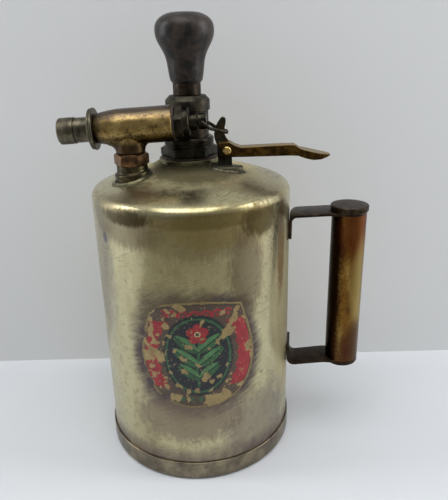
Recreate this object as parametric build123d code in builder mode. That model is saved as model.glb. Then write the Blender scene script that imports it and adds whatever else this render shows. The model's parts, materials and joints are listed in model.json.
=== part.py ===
from build123d import *

import os
from math import asin, cos, degrees, radians, sin, sqrt, tan

# Brass pneumatic hand sprayer. Millimetres, +Z up, origin on the floor at the
# centre of the tank's foot ring, +X towards the grip, -X towards the nozzle.

# Fits
solder_gap = 0.1
thread_gap = 0.1
run_gap = 0.05
side_gap = 0.2
rest_gap = 0.05

# Tank
tank_r = 57.15
tank_wall = 0.9
shoulder_r = 6.1
dome_r = 140.75
crown_z = 176.96
neck_rim = 1.4
neck_spread = 2.2
neck_top_z = 177.45

# Foot pan
pan_wall = 0.95
pan_h = 12.0
pan_corner_r = 2.5
pan_channel_w = 4.1
pan_floor_z = 4.0

# Pump seat on the crown
seat_ring_rim = 2.2
seat_ring_h = 2.45
seat_spigot_wall = 1.6
seat_spigot_len = 4.6
pump_thread_wall = 2.2
pump_washer_t = 1.0
pump_washer_inset = 1.3

# Pump: it stands a little behind the tank's own axis
pump_x = -1.1
pump_y = 5.4
barrel_r = 11.5
barrel_wall = 0.8
barrel_bottom_z = 38.0
boss_hex_wall = 5.1
boss_hex_h = 5.1
boss_hex_chamfer = 0.9
boss_turn = -78.6
boss_shank_len = 10.0
boss_collar_wall = 2.65
boss_collar_h = 5.4
boss_collar_chamfer = 0.9
collar_groove_w = 0.8
collar_groove_d = 0.6
collar_groove_pitch = 1.7
cap_wall = 1.02
cap_bottom_z = 205.85
cap_top_z = 214.0
cap_top_t = 2.5
cap_bevel = 2.3
guide_t = 4.0
rod_r = 3.0
rod_end_r = 2.5

# Plunger
ferrule_r = 7.8
ferrule_h = 6.3
knob_h = 36.25
knob_r = 16.04
knob_bore_depth = 24.5
piston_cup_bottom_z = 49.0
piston_cup_skirt = 5.0
piston_cup_base_t = 2.0
piston_cup_wall = 1.5
piston_plate_gap = 0.7
piston_plate_t = 1.2
spreader_t = 1.4
piston_nut_h = 3.0
piston_nut_r = 4.5

# Foot valve of the pump
plug_h = 6.0
plug_flange_t = 1.5
plug_hole_r = 2.0
cage_r = 8.5
cage_wall = 1.0
cage_h = 11.5
cage_floor_t = 1.5
cage_hole_r = 3.0
cage_port_r = 1.8
foot_disc_r = 5.0
foot_disc_t = 1.75
foot_spring_r = 3.6
foot_wire_r = 0.35
foot_spring_turns = 6

# Spray head: foot on the dome, plan angle, nose-down tilt and axis height
head_x = -28.6
head_beside = 9.37
head_turn = 7.0
head_tilt = 3.0
head_z = 200.3
body_r = 9.57
body_nose_r = 7.58
body_mid_r = 9.14
body_front_s = -17.6
body_rear_s = 23.7
chamber_r = 6.3
seat_s = -12.7
seat_hole_r = 2.8
neck_r = 7.8
neck_bottom_z = 186.3
neck_socket_depth = 4.6
inlet_r = 3.4

# Riser
riser_flange_r = 9.7
riser_flange_t = 3.7
riser_flange_lean = 7.0
riser_collar_r = 8.4
riser_spigot_r = 5.8
riser_bore_r = 3.05
riser_tail_r = 4.2
riser_tail_len = 7.0
riser_nut_r = 9.52
riser_nut_bottom_z = 179.9
riser_nut_turn = -79.5
dip_r = 3.0
dip_wall = 0.7
dip_bottom_z = 9.0
strainer_r = 5.0
strainer_h = 10.0
strainer_bottom_z = 6.5

# Nozzle
tube_r = 6.57
tube_front_s = -28.4
tube_spigot_r = 5.0
tube_spigot_len = 1.9
nozzle_thread_r = 5.4
nozzle_bore_r = 3.0
rear_disc_r = 11.1
rear_disc_t = 1.3
front_disc_r = 10.8
front_disc_t = 1.2
disc_round = 0.45
nozzle_cap_r = 6.97
nozzle_cap_len = 8.7
nozzle_cap_gap = 0.3
nozzle_cap_wall = 2.0
nozzle_cap_chamfer = 0.7
orifice_r = 0.8
swirl_t = 0.9
swirl_hole_r = 0.7
swirl_hole_pcd_r = 2.0

# Gland and stem
gland_washer_t = 1.1
gland_washer_r = 9.26
gland_hex_r = 9.47
gland_hex_t = 4.5
gland_hex_turn = 17.3
gland_collar_r = 8.05
gland_collar_t = 3.45
gland_thread_len = 8.4
gland_recess_r = 3.9
gland_recess_depth = 5.2
packing_t = 2.5
packing_nut_r = 4.5
packing_nut_len = 4.1
stem_r = 2.5
stem_flange_r = 5.0
stem_flange_t = 2.0
stem_washer_r = 4.6
stem_washer_t = 2.0
stem_end_r = 4.4
stem_end_len = 4.3
stem_end_gap = 0.5
return_spring_r = 3.9
return_wire_r = 0.45
return_spring_turns = 8

# Lever, its bracket and the stirrup
lever_offset = 5.1
pivot_s = 52.0
pivot_z = 186.2
pin_r = 1.25
pin_head_r = 2.35
pin_head_h = 1.3
pin_tail_r = 1.8
pin_tail_h = 0.7
lever_w = 8.8
lever_waist_w = 7.0
pad_w = 12.0
lever_wall = 1.2
fin_t = 3.0
bar_bottom_z = 182.4
bar_top_z = 187.55
peak_s = 87.5
peak_z = 188.35
tip_s = 109.0
tip_z = 182.6
post_front_s = 47.0
post_rear_s = 54.7
post_round_r = 2.8
foot_top_z = 176.9
foot_len = 18.7
foot_w = 9.2
foot_s = 51.4
wire_r = 0.95
wire_gap = 0.35
stirrup_bend_r = 1.4
stirrup_knee_s = 43.4
stirrup_knee_z = 198.9
stirrup_end_z = 195.6

# Grip
grip_x = 91.06
grip_r = 9.83
grip_wall = 1.2
grip_cap_r = 10.74
grip_top_z = 153.6
grip_cap_t = 3.2
grip_bottom_z = 52.5
grip_foot_t = 1.6
grip_rod_r = 3.0
strap_w = 18.0
strap_t = 1.5
strap_tab = 14.0
strap_bend_r = 3.0
upper_drop = 1.6
lower_drop = 3.6

# Derived heights of the stack on the crown
seat_ring_top_z = neck_top_z + seat_ring_h
boss_bottom_z = seat_ring_top_z + pump_washer_t
boss_hex_top_z = boss_bottom_z + boss_hex_h
boss_hex_r = barrel_r + boss_hex_wall
boss_collar_r = barrel_r + boss_collar_wall
pump_thread_r = barrel_r + pump_thread_wall
seat_bore_r = pump_thread_r + thread_gap
spigot_r = seat_bore_r + seat_spigot_wall
shell_hole_r = spigot_r + solder_gap
seat_ring_r = spigot_r + seat_ring_rim
pump_washer_r = seat_ring_r - pump_washer_inset
neck_top_r = seat_ring_r + neck_rim
neck_foot_r = neck_top_r + neck_spread
cap_r = barrel_r + cap_wall
cap_flat_r = cap_r - cap_bevel
piston_plate_r = barrel_r - barrel_wall - piston_plate_gap
barrel_bore_r = barrel_r - barrel_wall
barrel_top_z = cap_top_z - cap_top_t
ferrule_bottom_z = cap_top_z + rest_gap
knob_bottom_z = ferrule_bottom_z + ferrule_h
knob_top_z = knob_bottom_z + knob_h

# The head's axis passes beside the barrel at a set distance from its wall
beside = barrel_r + head_beside + (pump_x - head_x) * sin(radians(head_turn))
head_y = pump_y - beside / cos(radians(head_turn))

pump_axis = Axis((pump_x, pump_y, 0), (0, 0, 1))
pump_side = Plane(origin=(pump_x, pump_y, 0), x_dir=(1, 0, 0), z_dir=(0, -1, 0))


def pump_level(z):
    """Plane across the pump's axis at height z."""
    return Plane(origin=(pump_x, pump_y, z))


# The dome is part of a sphere, tangent to the rolled shoulder
dome_cz = crown_z - dome_r
roll_r = tank_r - shoulder_r
roll_z = dome_cz + sqrt((dome_r - shoulder_r) ** 2 - roll_r**2)
roll_angle = asin(roll_r / (dome_r - shoulder_r))


def dome_z(r, off=0.0):
    return dome_cz + sqrt((dome_r + off) ** 2 - r**2)


def shell_line(off):
    """Points of the shell's section, off millimetres outside its outer face."""
    roll = shoulder_r + off
    half = (radians(90) + roll_angle) / 2
    edge = (roll_r + roll * sin(roll_angle), roll_z + roll * cos(roll_angle))
    return {
        "wall": (tank_r + off, roll_z),
        "roll": (roll_r + roll * sin(half), roll_z + roll * cos(half)),
        "shoulder": edge,
        "mid": (edge[0] / 2, dome_z(edge[0] / 2, off)),
        "crown": (0, dome_z(0, off)),
    }


def neck_form(off):
    """Section of the raised neck about the pump's axis, off outside its outer face."""
    low = dome_z(neck_foot_r + abs(pump_y)) - 3
    return [
        (0, low),
        (neck_foot_r + off, low),
        (neck_foot_r + off, dome_z(neck_foot_r) - 0.3 + off),
        (neck_top_r + off, neck_top_z + off),
        (0, neck_top_z + off),
    ]


# ---- Tank shell ----
shell_bottom_z = pan_wall + 3 * solder_gap
outer = shell_line(0.0)
inner = shell_line(-tank_wall)
with BuildPart() as tank_shell:
    with BuildSketch(Plane.XZ):
        with BuildLine():
            Line((tank_r, shell_bottom_z), outer["wall"])
            ThreePointArc(outer["wall"], outer["roll"], outer["shoulder"])
            ThreePointArc(outer["shoulder"], outer["mid"], outer["crown"])
            Line(outer["crown"], inner["crown"])
            ThreePointArc(inner["crown"], inner["mid"], inner["shoulder"])
            ThreePointArc(inner["shoulder"], inner["roll"], inner["wall"])
            Line(inner["wall"], (tank_r - tank_wall, shell_bottom_z))
            Line((tank_r - tank_wall, shell_bottom_z), (tank_r, shell_bottom_z))
        make_face()
    revolve(axis=Axis.Z)
    # the neck is pressed up round the pump's seat
    with BuildSketch(pump_side):
        with BuildLine():
            Polyline(*neck_form(0.0), close=True)
        make_face()
    revolve(axis=pump_axis)
    with BuildSketch(pump_side):
        with BuildLine():
            Polyline(*neck_form(-tank_wall), close=True)
        make_face()
    revolve(axis=pump_axis, mode=Mode.SUBTRACT)
    with BuildSketch(pump_level(roll_z)):
        Circle(shell_hole_r)
    extrude(amount=2 * (neck_top_z - roll_z), mode=Mode.SUBTRACT)
    # nothing of the neck is left below the dome's inner face
    with BuildSketch(Plane.XZ):
        with BuildLine():
            Line((0, roll_z), inner["crown"])
            ThreePointArc(inner["crown"], inner["mid"], inner["shoulder"])
            Line(inner["shoulder"], (inner["shoulder"][0], roll_z))
            Line((inner["shoulder"][0], roll_z), (0, roll_z))
        make_face()
    revolve(axis=Axis.Z, mode=Mode.SUBTRACT)
    # hole for the riser's tail
    with Locations((head_x, head_y, crown_z)):
        Cylinder(riser_tail_r + solder_gap, 2 * (crown_z - roll_z), mode=Mode.SUBTRACT)
tank_shell.part.label = "tank_shell"

# ---- Foot pan: floor, channel and outside band in one pressing ----
pan_inner_r = tank_r + solder_gap
pan_r = pan_inner_r + pan_wall
channel_r = pan_inner_r - pan_channel_w
with BuildPart() as base_pan:
    with BuildSketch(Plane.XZ) as pan_section:
        with BuildLine():
            Polyline(
                (0, pan_floor_z - pan_wall),
                (channel_r - pan_wall, pan_floor_z - pan_wall),
                (channel_r - pan_wall, 0),
                (pan_r, 0),
                (pan_r, pan_h),
                (pan_inner_r, pan_h),
                (pan_inner_r, pan_wall),
                (channel_r, pan_wall),
                (channel_r, pan_floor_z),
                (0, pan_floor_z),
                close=True,
            )
        make_face()
        bends = (
            ((pan_r, 0), pan_corner_r),
            ((channel_r - pan_wall, 0), 0.9),
            ((channel_r - pan_wall, pan_floor_z - pan_wall), 0.3),
            ((channel_r, pan_floor_z), 1.2),
            ((pan_r, pan_h), 0.45),
        )
        for place, radius in bends:
            corner = pan_section.vertices().sort_by_distance((place[0], place[1], 0))[0]
            fillet(corner, radius)
    revolve(axis=Axis.Z)
base_pan.part.label = "base_pan"

# ---- Seat ring soldered in the crown ----
with BuildPart() as seat_ring:
    with BuildSketch(pump_level(neck_top_z)):
        Circle(seat_ring_r)
    extrude(amount=seat_ring_h)
    with BuildSketch(pump_level(neck_top_z - seat_spigot_len)):
        Circle(spigot_r)
    extrude(amount=seat_spigot_len)
    with BuildSketch(pump_level(neck_top_z - seat_spigot_len)):
        Circle(seat_bore_r)
    extrude(amount=seat_spigot_len + seat_ring_h, mode=Mode.SUBTRACT)
    ring_edges = seat_ring.edges().filter_by(GeomType.CIRCLE).group_by(SortBy.RADIUS)[-1]
    fillet(ring_edges.sort_by(Axis.Z)[-1], 0.6)
seat_ring.part.label = "seat_ring"

with BuildPart() as pump_washer:
    with BuildSketch(pump_level(seat_ring_top_z)):
        Circle(pump_washer_r)
        Circle(pump_thread_r + 2 * thread_gap, mode=Mode.SUBTRACT)
    extrude(amount=pump_washer_t)
pump_washer.part.label = "pump_washer"

# ---- Pump boss: threaded shank, hexagon and grooved collar ----
with BuildPart() as pump_boss:
    with BuildSketch(pump_level(boss_bottom_z - boss_shank_len)):
        Circle(pump_thread_r)
    extrude(amount=boss_shank_len)
    with BuildSketch(pump_level(boss_bottom_z)):
        RegularPolygon(boss_hex_r, 6, rotation=boss_turn + 30)
    extrude(amount=boss_hex_h)
    # the hexagon's corners are turned off top and bottom
    with BuildSketch(pump_side):
        with BuildLine():
            Polyline(
                (0, boss_bottom_z - boss_shank_len),
                (pump_thread_r, boss_bottom_z - boss_shank_len),
                (pump_thread_r, boss_bottom_z),
                (boss_hex_r - 0.9, boss_bottom_z),
                (boss_hex_r, boss_bottom_z + 0.5),
                (boss_hex_r, boss_hex_top_z - boss_hex_chamfer),
                (boss_hex_r - 2 * boss_hex_chamfer, boss_hex_top_z),
                (0, boss_hex_top_z),
                close=True,
            )
        make_face()
    revolve(axis=pump_axis, mode=Mode.INTERSECT)
    with BuildSketch(pump_level(boss_hex_top_z)):
        Circle(boss_collar_r)
    extrude(amount=boss_collar_h)
    collar_edge = pump_boss.edges().filter_by(GeomType.CIRCLE).sort_by(Axis.Z)[-1]
    chamfer(collar_edge, boss_collar_chamfer)
    for k in range(2):
        groove_z = boss_hex_top_z + 0.6 + k * collar_groove_pitch
        with BuildSketch(pump_level(groove_z)):
            Circle(boss_collar_r + 1)
            Circle(boss_collar_r - collar_groove_d, mode=Mode.SUBTRACT)
        extrude(amount=collar_groove_w, mode=Mode.SUBTRACT)
    with BuildSketch(pump_level(boss_bottom_z - boss_shank_len)):
        Circle(barrel_r + run_gap)
    extrude(amount=boss_shank_len + boss_hex_h + boss_collar_h, mode=Mode.SUBTRACT)
pump_boss.part.label = "pump_boss"

with BuildPart() as pump_barrel:
    with BuildSketch(pump_level(barrel_bottom_z)):
        Circle(barrel_r)
        Circle(barrel_bore_r, mode=Mode.SUBTRACT)
    extrude(amount=barrel_top_z - barrel_bottom_z)
pump_barrel.part.label = "pump_barrel"

with BuildPart() as pump_cap:
    with BuildSketch(pump_side):
        with BuildLine():
            Polyline(
                (barrel_r + run_gap, cap_bottom_z),
                (cap_r, cap_bottom_z),
                (cap_r, barrel_top_z),
                (cap_flat_r, cap_top_z),
                (rod_r + run_gap, cap_top_z),
                (rod_r + run_gap, barrel_top_z),
                (barrel_r + run_gap, barrel_top_z),
                close=True,
            )
        make_face()
    revolve(axis=pump_axis)
    rims = pump_cap.edges().filter_by(GeomType.CIRCLE).group_by(SortBy.RADIUS)[-1]
    fillet(rims, 0.5)
pump_cap.part.label = "pump_cap"

with BuildPart() as rod_guide:
    with BuildSketch(pump_level(barrel_top_z - guide_t)):
        Circle(barrel_bore_r - run_gap)
        Circle(rod_r + run_gap, mode=Mode.SUBTRACT)
    extrude(amount=guide_t)
rod_guide.part.label = "rod_guide"

# ---- Plunger ----
piston_seat_z = piston_cup_bottom_z + piston_cup_skirt
piston_top_z = piston_seat_z + piston_cup_base_t + piston_plate_t
rod_bottom_z = piston_cup_bottom_z - 0.4
rod_top_z = knob_bottom_z + knob_bore_depth - 0.4
with BuildPart() as pump_rod:
    with BuildSketch(pump_level(piston_top_z)):
        Circle(rod_r)
    extrude(amount=rod_top_z - piston_top_z)
    with BuildSketch(pump_level(rod_bottom_z)):
        Circle(rod_end_r)
    extrude(amount=piston_top_z - rod_bottom_z)
pump_rod.part.label = "pump_rod"

with BuildPart() as piston_plate:
    with BuildSketch(pump_level(piston_top_z - piston_plate_t)):
        Circle(piston_plate_r)
        Circle(rod_end_r + run_gap, mode=Mode.SUBTRACT)
    extrude(amount=piston_plate_t)
piston_plate.part.label = "piston_plate"

cup_r = barrel_bore_r - run_gap
with BuildPart() as piston_cup:
    with BuildSketch(pump_level(piston_cup_bottom_z)):
        Circle(cup_r)
        Circle(cup_r - piston_cup_wall, mode=Mode.SUBTRACT)
    extrude(amount=piston_cup_skirt)
    with BuildSketch(pump_level(piston_seat_z)):
        Circle(cup_r)
        Circle(rod_end_r + run_gap, mode=Mode.SUBTRACT)
    extrude(amount=piston_cup_base_t)
piston_cup.part.label = "piston_cup"

with BuildPart() as piston_spreader:
    with BuildSketch(pump_level(piston_seat_z - spreader_t)):
        Circle(cup_r - piston_cup_wall - run_gap)
        Circle(rod_end_r + run_gap, mode=Mode.SUBTRACT)
    extrude(amount=spreader_t)
piston_spreader.part.label = "piston_spreader"

with BuildPart() as piston_nut:
    with BuildSketch(pump_level(piston_seat_z - spreader_t - piston_nut_h)):
        RegularPolygon(piston_nut_r, 6)
        Circle(rod_end_r + run_gap, mode=Mode.SUBTRACT)
    extrude(amount=piston_nut_h)
piston_nut.part.label = "piston_nut"

with BuildPart() as knob_ferrule:
    with BuildSketch(pump_level(ferrule_bottom_z)):
        Circle(ferrule_r)
    extrude(amount=ferrule_h)
    fillet(knob_ferrule.edges().filter_by(GeomType.CIRCLE), 0.35)
    with BuildSketch(pump_level(ferrule_bottom_z)):
        Circle(rod_r + run_gap)
    extrude(amount=ferrule_h, mode=Mode.SUBTRACT)
knob_ferrule.part.label = "knob_ferrule"

# turned outline of the knob, as shares of its greatest radius and its height
knob_turning = [
    (0.48, 0.0),
    (0.552, 0.041),
    (0.611, 0.182),
    (0.655, 0.323),
    (0.767, 0.466),
    (0.926, 0.599),
    (1.0, 0.739),
    (0.935, 0.869),
    (0.611, 0.975),
    (0.0, 1.0),
]
knob_foot, *knob_line = [(r * knob_r, knob_bottom_z + h * knob_h) for r, h in knob_turning]
with BuildPart() as knob:
    with BuildSketch(pump_side):
        with BuildLine():
            Line((0, knob_bottom_z), knob_foot)
            Line(knob_foot, knob_line[0])
            Spline(*knob_line, tangents=((0.25, 1), (-1, 0)))
            Line((0, knob_top_z), (0, knob_bottom_z))
        make_face()
    revolve(axis=pump_axis)
    with BuildSketch(pump_level(knob_bottom_z)):
        Circle(rod_r + run_gap)
    extrude(amount=knob_bore_depth, mode=Mode.SUBTRACT)
knob.part.label = "knob"

# ---- Foot valve under the barrel ----
flange_z = barrel_bottom_z - plug_flange_t
with BuildPart() as foot_plug:
    with BuildSketch(pump_level(flange_z)):
        Circle(barrel_r)
    extrude(amount=plug_flange_t)
    with BuildSketch(pump_level(barrel_bottom_z)):
        Circle(barrel_bore_r - run_gap)
    extrude(amount=plug_h)
    with BuildSketch(pump_level(flange_z)):
        Circle(plug_hole_r)
    extrude(amount=plug_h + plug_flange_t, mode=Mode.SUBTRACT)
foot_plug.part.label = "foot_plug"

cage_z = flange_z - cage_h
with BuildPart() as foot_cage:
    with BuildSketch(pump_level(cage_z)):
        Circle(cage_r)
    extrude(amount=cage_h)
    with BuildSketch(pump_level(cage_z + cage_floor_t)):
        Circle(cage_r - cage_wall)
    extrude(amount=cage_h - cage_floor_t, mode=Mode.SUBTRACT)
    with BuildSketch(pump_level(cage_z)):
        Circle(cage_hole_r)
    extrude(amount=cage_floor_t, mode=Mode.SUBTRACT)
    port_z = cage_z + cage_h / 2
    for side in ((1, 0, 0), (0, 1, 0)):
        with BuildSketch(Plane(origin=(pump_x, pump_y, port_z), z_dir=side)):
            Circle(cage_port_r)
        extrude(amount=cage_r + 1, both=True, mode=Mode.SUBTRACT)
foot_cage.part.label = "foot_cage"

foot_disc_top_z = flange_z - rest_gap
with BuildPart() as foot_disc:
    with BuildSketch(pump_level(foot_disc_top_z - foot_disc_t)):
        Circle(foot_disc_r)
    extrude(amount=foot_disc_t)
foot_disc.part.label = "foot_disc"

spring_low_z = cage_z + cage_floor_t + foot_wire_r + rest_gap
spring_high_z = foot_disc_top_z - foot_disc_t - foot_wire_r - rest_gap
with BuildPart() as foot_spring:
    with BuildLine() as foot_coil:
        foot_rise = spring_high_z - spring_low_z
        Helix(foot_rise / foot_spring_turns, foot_rise, foot_spring_r, center=(pump_x, pump_y, spring_low_z))
    coil = foot_coil.wire()
    with BuildSketch(Plane(origin=coil @ 0, z_dir=coil % 0)):
        Circle(foot_wire_r)
    sweep()
foot_spring.part.label = "foot_spring"

# ---- Frame of the spray head ----
turn = radians(head_turn)
tilt = radians(head_tilt)
along = Vector(cos(turn) * cos(tilt), sin(turn) * cos(tilt), sin(tilt))
across = Vector(-sin(turn), cos(turn), 0)
head_origin = Vector(head_x, head_y, head_z)
head_axis = Axis(head_origin, along)
head_side = Plane(origin=head_origin, x_dir=along, z_dir=-across)


def head_at(s):
    """Plane square to the head's axis, s millimetres behind the riser."""
    return Plane(origin=head_origin + along * s, x_dir=across, z_dir=along)


# ---- Riser ----
lean = radians(riser_flange_lean)
reach = sqrt(head_x**2 + head_y**2)
lean_dir = Vector(head_x / reach * sin(lean), head_y / reach * sin(lean), cos(lean))
flange_base = Vector(head_x, head_y, dome_z(reach) + 2.0)
riser_spigot_top_z = neck_bottom_z + neck_socket_depth - 0.4
riser_tail_z = dome_z(reach) - riser_tail_len
with BuildPart() as riser_flange:
    with BuildSketch(Plane(origin=flange_base - lean_dir * 4, x_dir=(1, 0, 0), z_dir=lean_dir)):
        Circle(riser_flange_r)
    extrude(amount=4 + riser_flange_t - 2.0)
    rims = riser_flange.edges().filter_by(GeomType.CIRCLE).sort_by(Axis.Z)[-1]
    fillet(rims, 0.7)
    with BuildSketch(Plane.XY.offset(flange_base.Z)):
        with Locations((head_x, head_y)):
            Circle(riser_collar_r)
    extrude(amount=riser_nut_bottom_z - flange_base.Z)
    with BuildSketch(Plane.XY.offset(riser_nut_bottom_z)):
        with Locations((head_x, head_y)):
            Circle(riser_spigot_r)
    extrude(amount=riser_spigot_top_z - riser_nut_bottom_z)
    with Locations((0, 0, dome_cz)):
        Sphere(dome_r + solder_gap, mode=Mode.SUBTRACT)
    with BuildSketch(Plane.XY.offset(riser_tail_z)):
        with Locations((head_x, head_y)):
            Circle(riser_tail_r)
    extrude(amount=flange_base.Z - riser_tail_z)
    with BuildSketch(Plane.XY.offset(riser_tail_z)):
        with Locations((head_x, head_y)):
            Circle(riser_bore_r)
    extrude(amount=riser_spigot_top_z - riser_tail_z, mode=Mode.SUBTRACT)
riser_flange.part.label = "riser_flange"

riser_nut_h = neck_bottom_z - riser_nut_bottom_z
with BuildPart() as riser_nut:
    with BuildSketch(Plane.XY.offset(riser_nut_bottom_z)):
        with Locations((head_x, head_y)):
            RegularPolygon(riser_nut_r, 6, rotation=riser_nut_turn + 30)
    extrude(amount=riser_nut_h)
    with BuildSketch(Plane(origin=(head_x, head_y, 0), x_dir=(1, 0, 0), z_dir=(0, -1, 0))):
        with BuildLine():
            Polyline(
                (0, riser_nut_bottom_z),
                (riser_nut_r - 1.4, riser_nut_bottom_z),
                (riser_nut_r, riser_nut_bottom_z + 0.8),
                (riser_nut_r, neck_bottom_z - 0.8),
                (riser_nut_r - 1.4, neck_bottom_z),
                (0, neck_bottom_z),
                close=True,
            )
        make_face()
    revolve(axis=Axis((head_x, head_y, 0), (0, 0, 1)), mode=Mode.INTERSECT)
    with BuildSketch(Plane.XY.offset(riser_nut_bottom_z)):
        with Locations((head_x, head_y)):
            Circle(riser_spigot_r + thread_gap)
    extrude(amount=riser_nut_h, mode=Mode.SUBTRACT)
riser_nut.part.label = "riser_nut"

dip_top_z = riser_nut_bottom_z + 3
with BuildPart() as dip_tube:
    with BuildSketch(Plane.XY.offset(dip_bottom_z)):
        with Locations((head_x, head_y)):
            Circle(dip_r)
            Circle(dip_r - dip_wall, mode=Mode.SUBTRACT)
    extrude(amount=dip_top_z - dip_bottom_z)
dip_tube.part.label = "dip_tube"

with BuildPart() as strainer:
    with BuildSketch(Plane.XY.offset(strainer_bottom_z)):
        with Locations((head_x, head_y)):
            Circle(strainer_r)
    extrude(amount=strainer_h)
    fillet(strainer.edges().filter_by(GeomType.CIRCLE), 0.8)
    with BuildSketch(Plane.XY.offset(dip_bottom_z)):
        with Locations((head_x, head_y)):
            Circle(dip_r + run_gap)
    extrude(amount=strainer_h, mode=Mode.SUBTRACT)
    for side in ((1, 0, 0), (0, 1, 0)):
        with BuildSketch(Plane(origin=(head_x, head_y, dip_bottom_z - 1.2), z_dir=side)):
            Circle(0.6)
        extrude(amount=strainer_r + 1, both=True, mode=Mode.SUBTRACT)
strainer.part.label = "strainer"

# ---- Valve body ----
with BuildPart() as valve_body:
    with BuildSketch(head_side):
        with BuildLine():
            Line((body_front_s, 0), (body_front_s, body_nose_r))
            ThreePointArc((body_front_s, body_nose_r), (body_front_s * 0.55, body_mid_r), (0, body_r))
            Line((0, body_r), (body_rear_s, body_r))
            Line((body_rear_s, body_r), (body_rear_s, 0))
            Line((body_rear_s, 0), (body_front_s, 0))
        make_face()
    revolve(axis=head_axis)
    with BuildSketch(Plane.XY.offset(neck_bottom_z)):
        with Locations((head_x, head_y)):
            Circle(neck_r)
    extrude(amount=head_z - neck_bottom_z)
    with BuildSketch(head_at(seat_s)):
        Circle(chamber_r)
    extrude(amount=body_rear_s - seat_s, mode=Mode.SUBTRACT)
    with BuildSketch(head_at(body_front_s)):
        Circle(seat_hole_r)
    extrude(amount=seat_s - body_front_s, mode=Mode.SUBTRACT)
    with BuildSketch(head_at(body_front_s)):
        Circle(tube_spigot_r + run_gap)
    extrude(amount=tube_spigot_len + run_gap, mode=Mode.SUBTRACT)
    with BuildSketch(Plane.XY.offset(neck_bottom_z)):
        with Locations((head_x, head_y)):
            Circle(riser_spigot_r + thread_gap)
    extrude(amount=neck_socket_depth, mode=Mode.SUBTRACT)
    with BuildSketch(Plane.XY.offset(neck_bottom_z)):
        with Locations((head_x, head_y)):
            Circle(inlet_r)
    extrude(amount=head_z - neck_bottom_z, mode=Mode.SUBTRACT)
valve_body.part.label = "valve_body"

# ---- Nozzle ----
cap_rear_s = tube_front_s - nozzle_cap_gap
cap_front_s = cap_rear_s - nozzle_cap_len
cap_wall_s = cap_front_s + nozzle_cap_wall
swirl_rear_s = cap_wall_s + rest_gap + swirl_t
with BuildPart() as nozzle_tube:
    with BuildSketch(head_side):
        with BuildLine():
            Polyline(
                (swirl_rear_s, nozzle_bore_r),
                (swirl_rear_s, nozzle_thread_r),
                (tube_front_s, nozzle_thread_r),
                (tube_front_s, tube_r),
                (body_front_s, tube_r),
                (body_front_s, tube_spigot_r),
                (body_front_s + tube_spigot_len, tube_spigot_r),
                (body_front_s + tube_spigot_len, nozzle_bore_r),
                close=True,
            )
        make_face()
    revolve(axis=head_axis)
nozzle_tube.part.label = "nozzle_tube"

with BuildPart() as rear_disc:
    with BuildSketch(head_at(body_front_s - rear_disc_t - rest_gap)):
        Circle(rear_disc_r)
    extrude(amount=rear_disc_t)
    fillet(rear_disc.edges().filter_by(GeomType.CIRCLE), disc_round)
    with BuildSketch(head_at(body_front_s - rear_disc_t - rest_gap)):
        Circle(tube_r + run_gap)
    extrude(amount=rear_disc_t, mode=Mode.SUBTRACT)
rear_disc.part.label = "rear_disc"

front_disc_s = body_front_s - rear_disc_t - front_disc_t - 2 * rest_gap
with BuildPart() as front_disc:
    with BuildSketch(head_at(front_disc_s)):
        Circle(front_disc_r)
    extrude(amount=front_disc_t)
    fillet(front_disc.edges().filter_by(GeomType.CIRCLE), disc_round)
    with BuildSketch(head_at(front_disc_s)):
        Circle(tube_r + run_gap)
    extrude(amount=front_disc_t, mode=Mode.SUBTRACT)
front_disc.part.label = "front_disc"

with BuildPart() as swirl_disc:
    with BuildSketch(head_at(swirl_rear_s - swirl_t)):
        Circle(nozzle_thread_r)
        with PolarLocations(swirl_hole_pcd_r, 3):
            Circle(swirl_hole_r, mode=Mode.SUBTRACT)
    extrude(amount=swirl_t)
swirl_disc.part.label = "swirl_disc"

with BuildPart() as nozzle_cap:
    with BuildSketch(head_side):
        with BuildLine():
            Polyline(
                (cap_front_s + 0.7 * nozzle_cap_wall, orifice_r),
                (cap_front_s, orifice_r + 1.8),
                (cap_front_s, nozzle_cap_r - nozzle_cap_chamfer),
                (cap_front_s + nozzle_cap_chamfer, nozzle_cap_r),
                (cap_rear_s, nozzle_cap_r),
                (cap_rear_s, nozzle_thread_r + run_gap),
                (cap_wall_s, nozzle_thread_r + run_gap),
                (cap_wall_s, orifice_r),
                close=True,
            )
        make_face()
    revolve(axis=head_axis)
nozzle_cap.part.label = "nozzle_cap"

# ---- Gland ----
gland_face_s = body_rear_s + gland_washer_t
gland_collar_s = gland_face_s + gland_hex_t
gland_rear_s = gland_collar_s + gland_collar_t
with BuildPart() as gland_washer:
    with BuildSketch(head_at(body_rear_s)):
        Circle(gland_washer_r)
        Circle(chamber_r + thread_gap, mode=Mode.SUBTRACT)
    extrude(amount=gland_washer_t)
gland_washer.part.label = "gland_washer"

with BuildPart() as gland_nut:
    with BuildSketch(head_at(gland_face_s)):
        RegularPolygon(gland_hex_r, 6, rotation=180 - gland_hex_turn)
    extrude(amount=gland_hex_t)
    with BuildSketch(head_side):
        with BuildLine():
            Polyline(
                (gland_face_s, 0),
                (gland_face_s, gland_hex_r),
                (gland_collar_s - 0.6, gland_hex_r),
                (gland_collar_s, gland_hex_r - 1.0),
                (gland_collar_s, 0),
                close=True,
            )
        make_face()
    revolve(axis=head_axis, mode=Mode.INTERSECT)
    with BuildSketch(head_at(gland_collar_s)):
        Circle(gland_collar_r)
    extrude(amount=gland_collar_t)
    fillet(gland_nut.edges().filter_by(GeomType.CIRCLE).sort_by(head_axis)[-1], 1.6)
    with BuildSketch(head_at(gland_face_s - gland_thread_len)):
        Circle(chamber_r - run_gap)
    extrude(amount=gland_thread_len)
    with BuildSketch(head_at(gland_face_s - gland_thread_len)):
        Circle(stem_r + run_gap)
    extrude(amount=gland_rear_s - gland_face_s + gland_thread_len, mode=Mode.SUBTRACT)
    with BuildSketch(head_at(gland_rear_s - gland_recess_depth)):
        Circle(gland_recess_r)
    extrude(amount=gland_recess_depth, mode=Mode.SUBTRACT)
gland_nut.part.label = "gland_nut"

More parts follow.
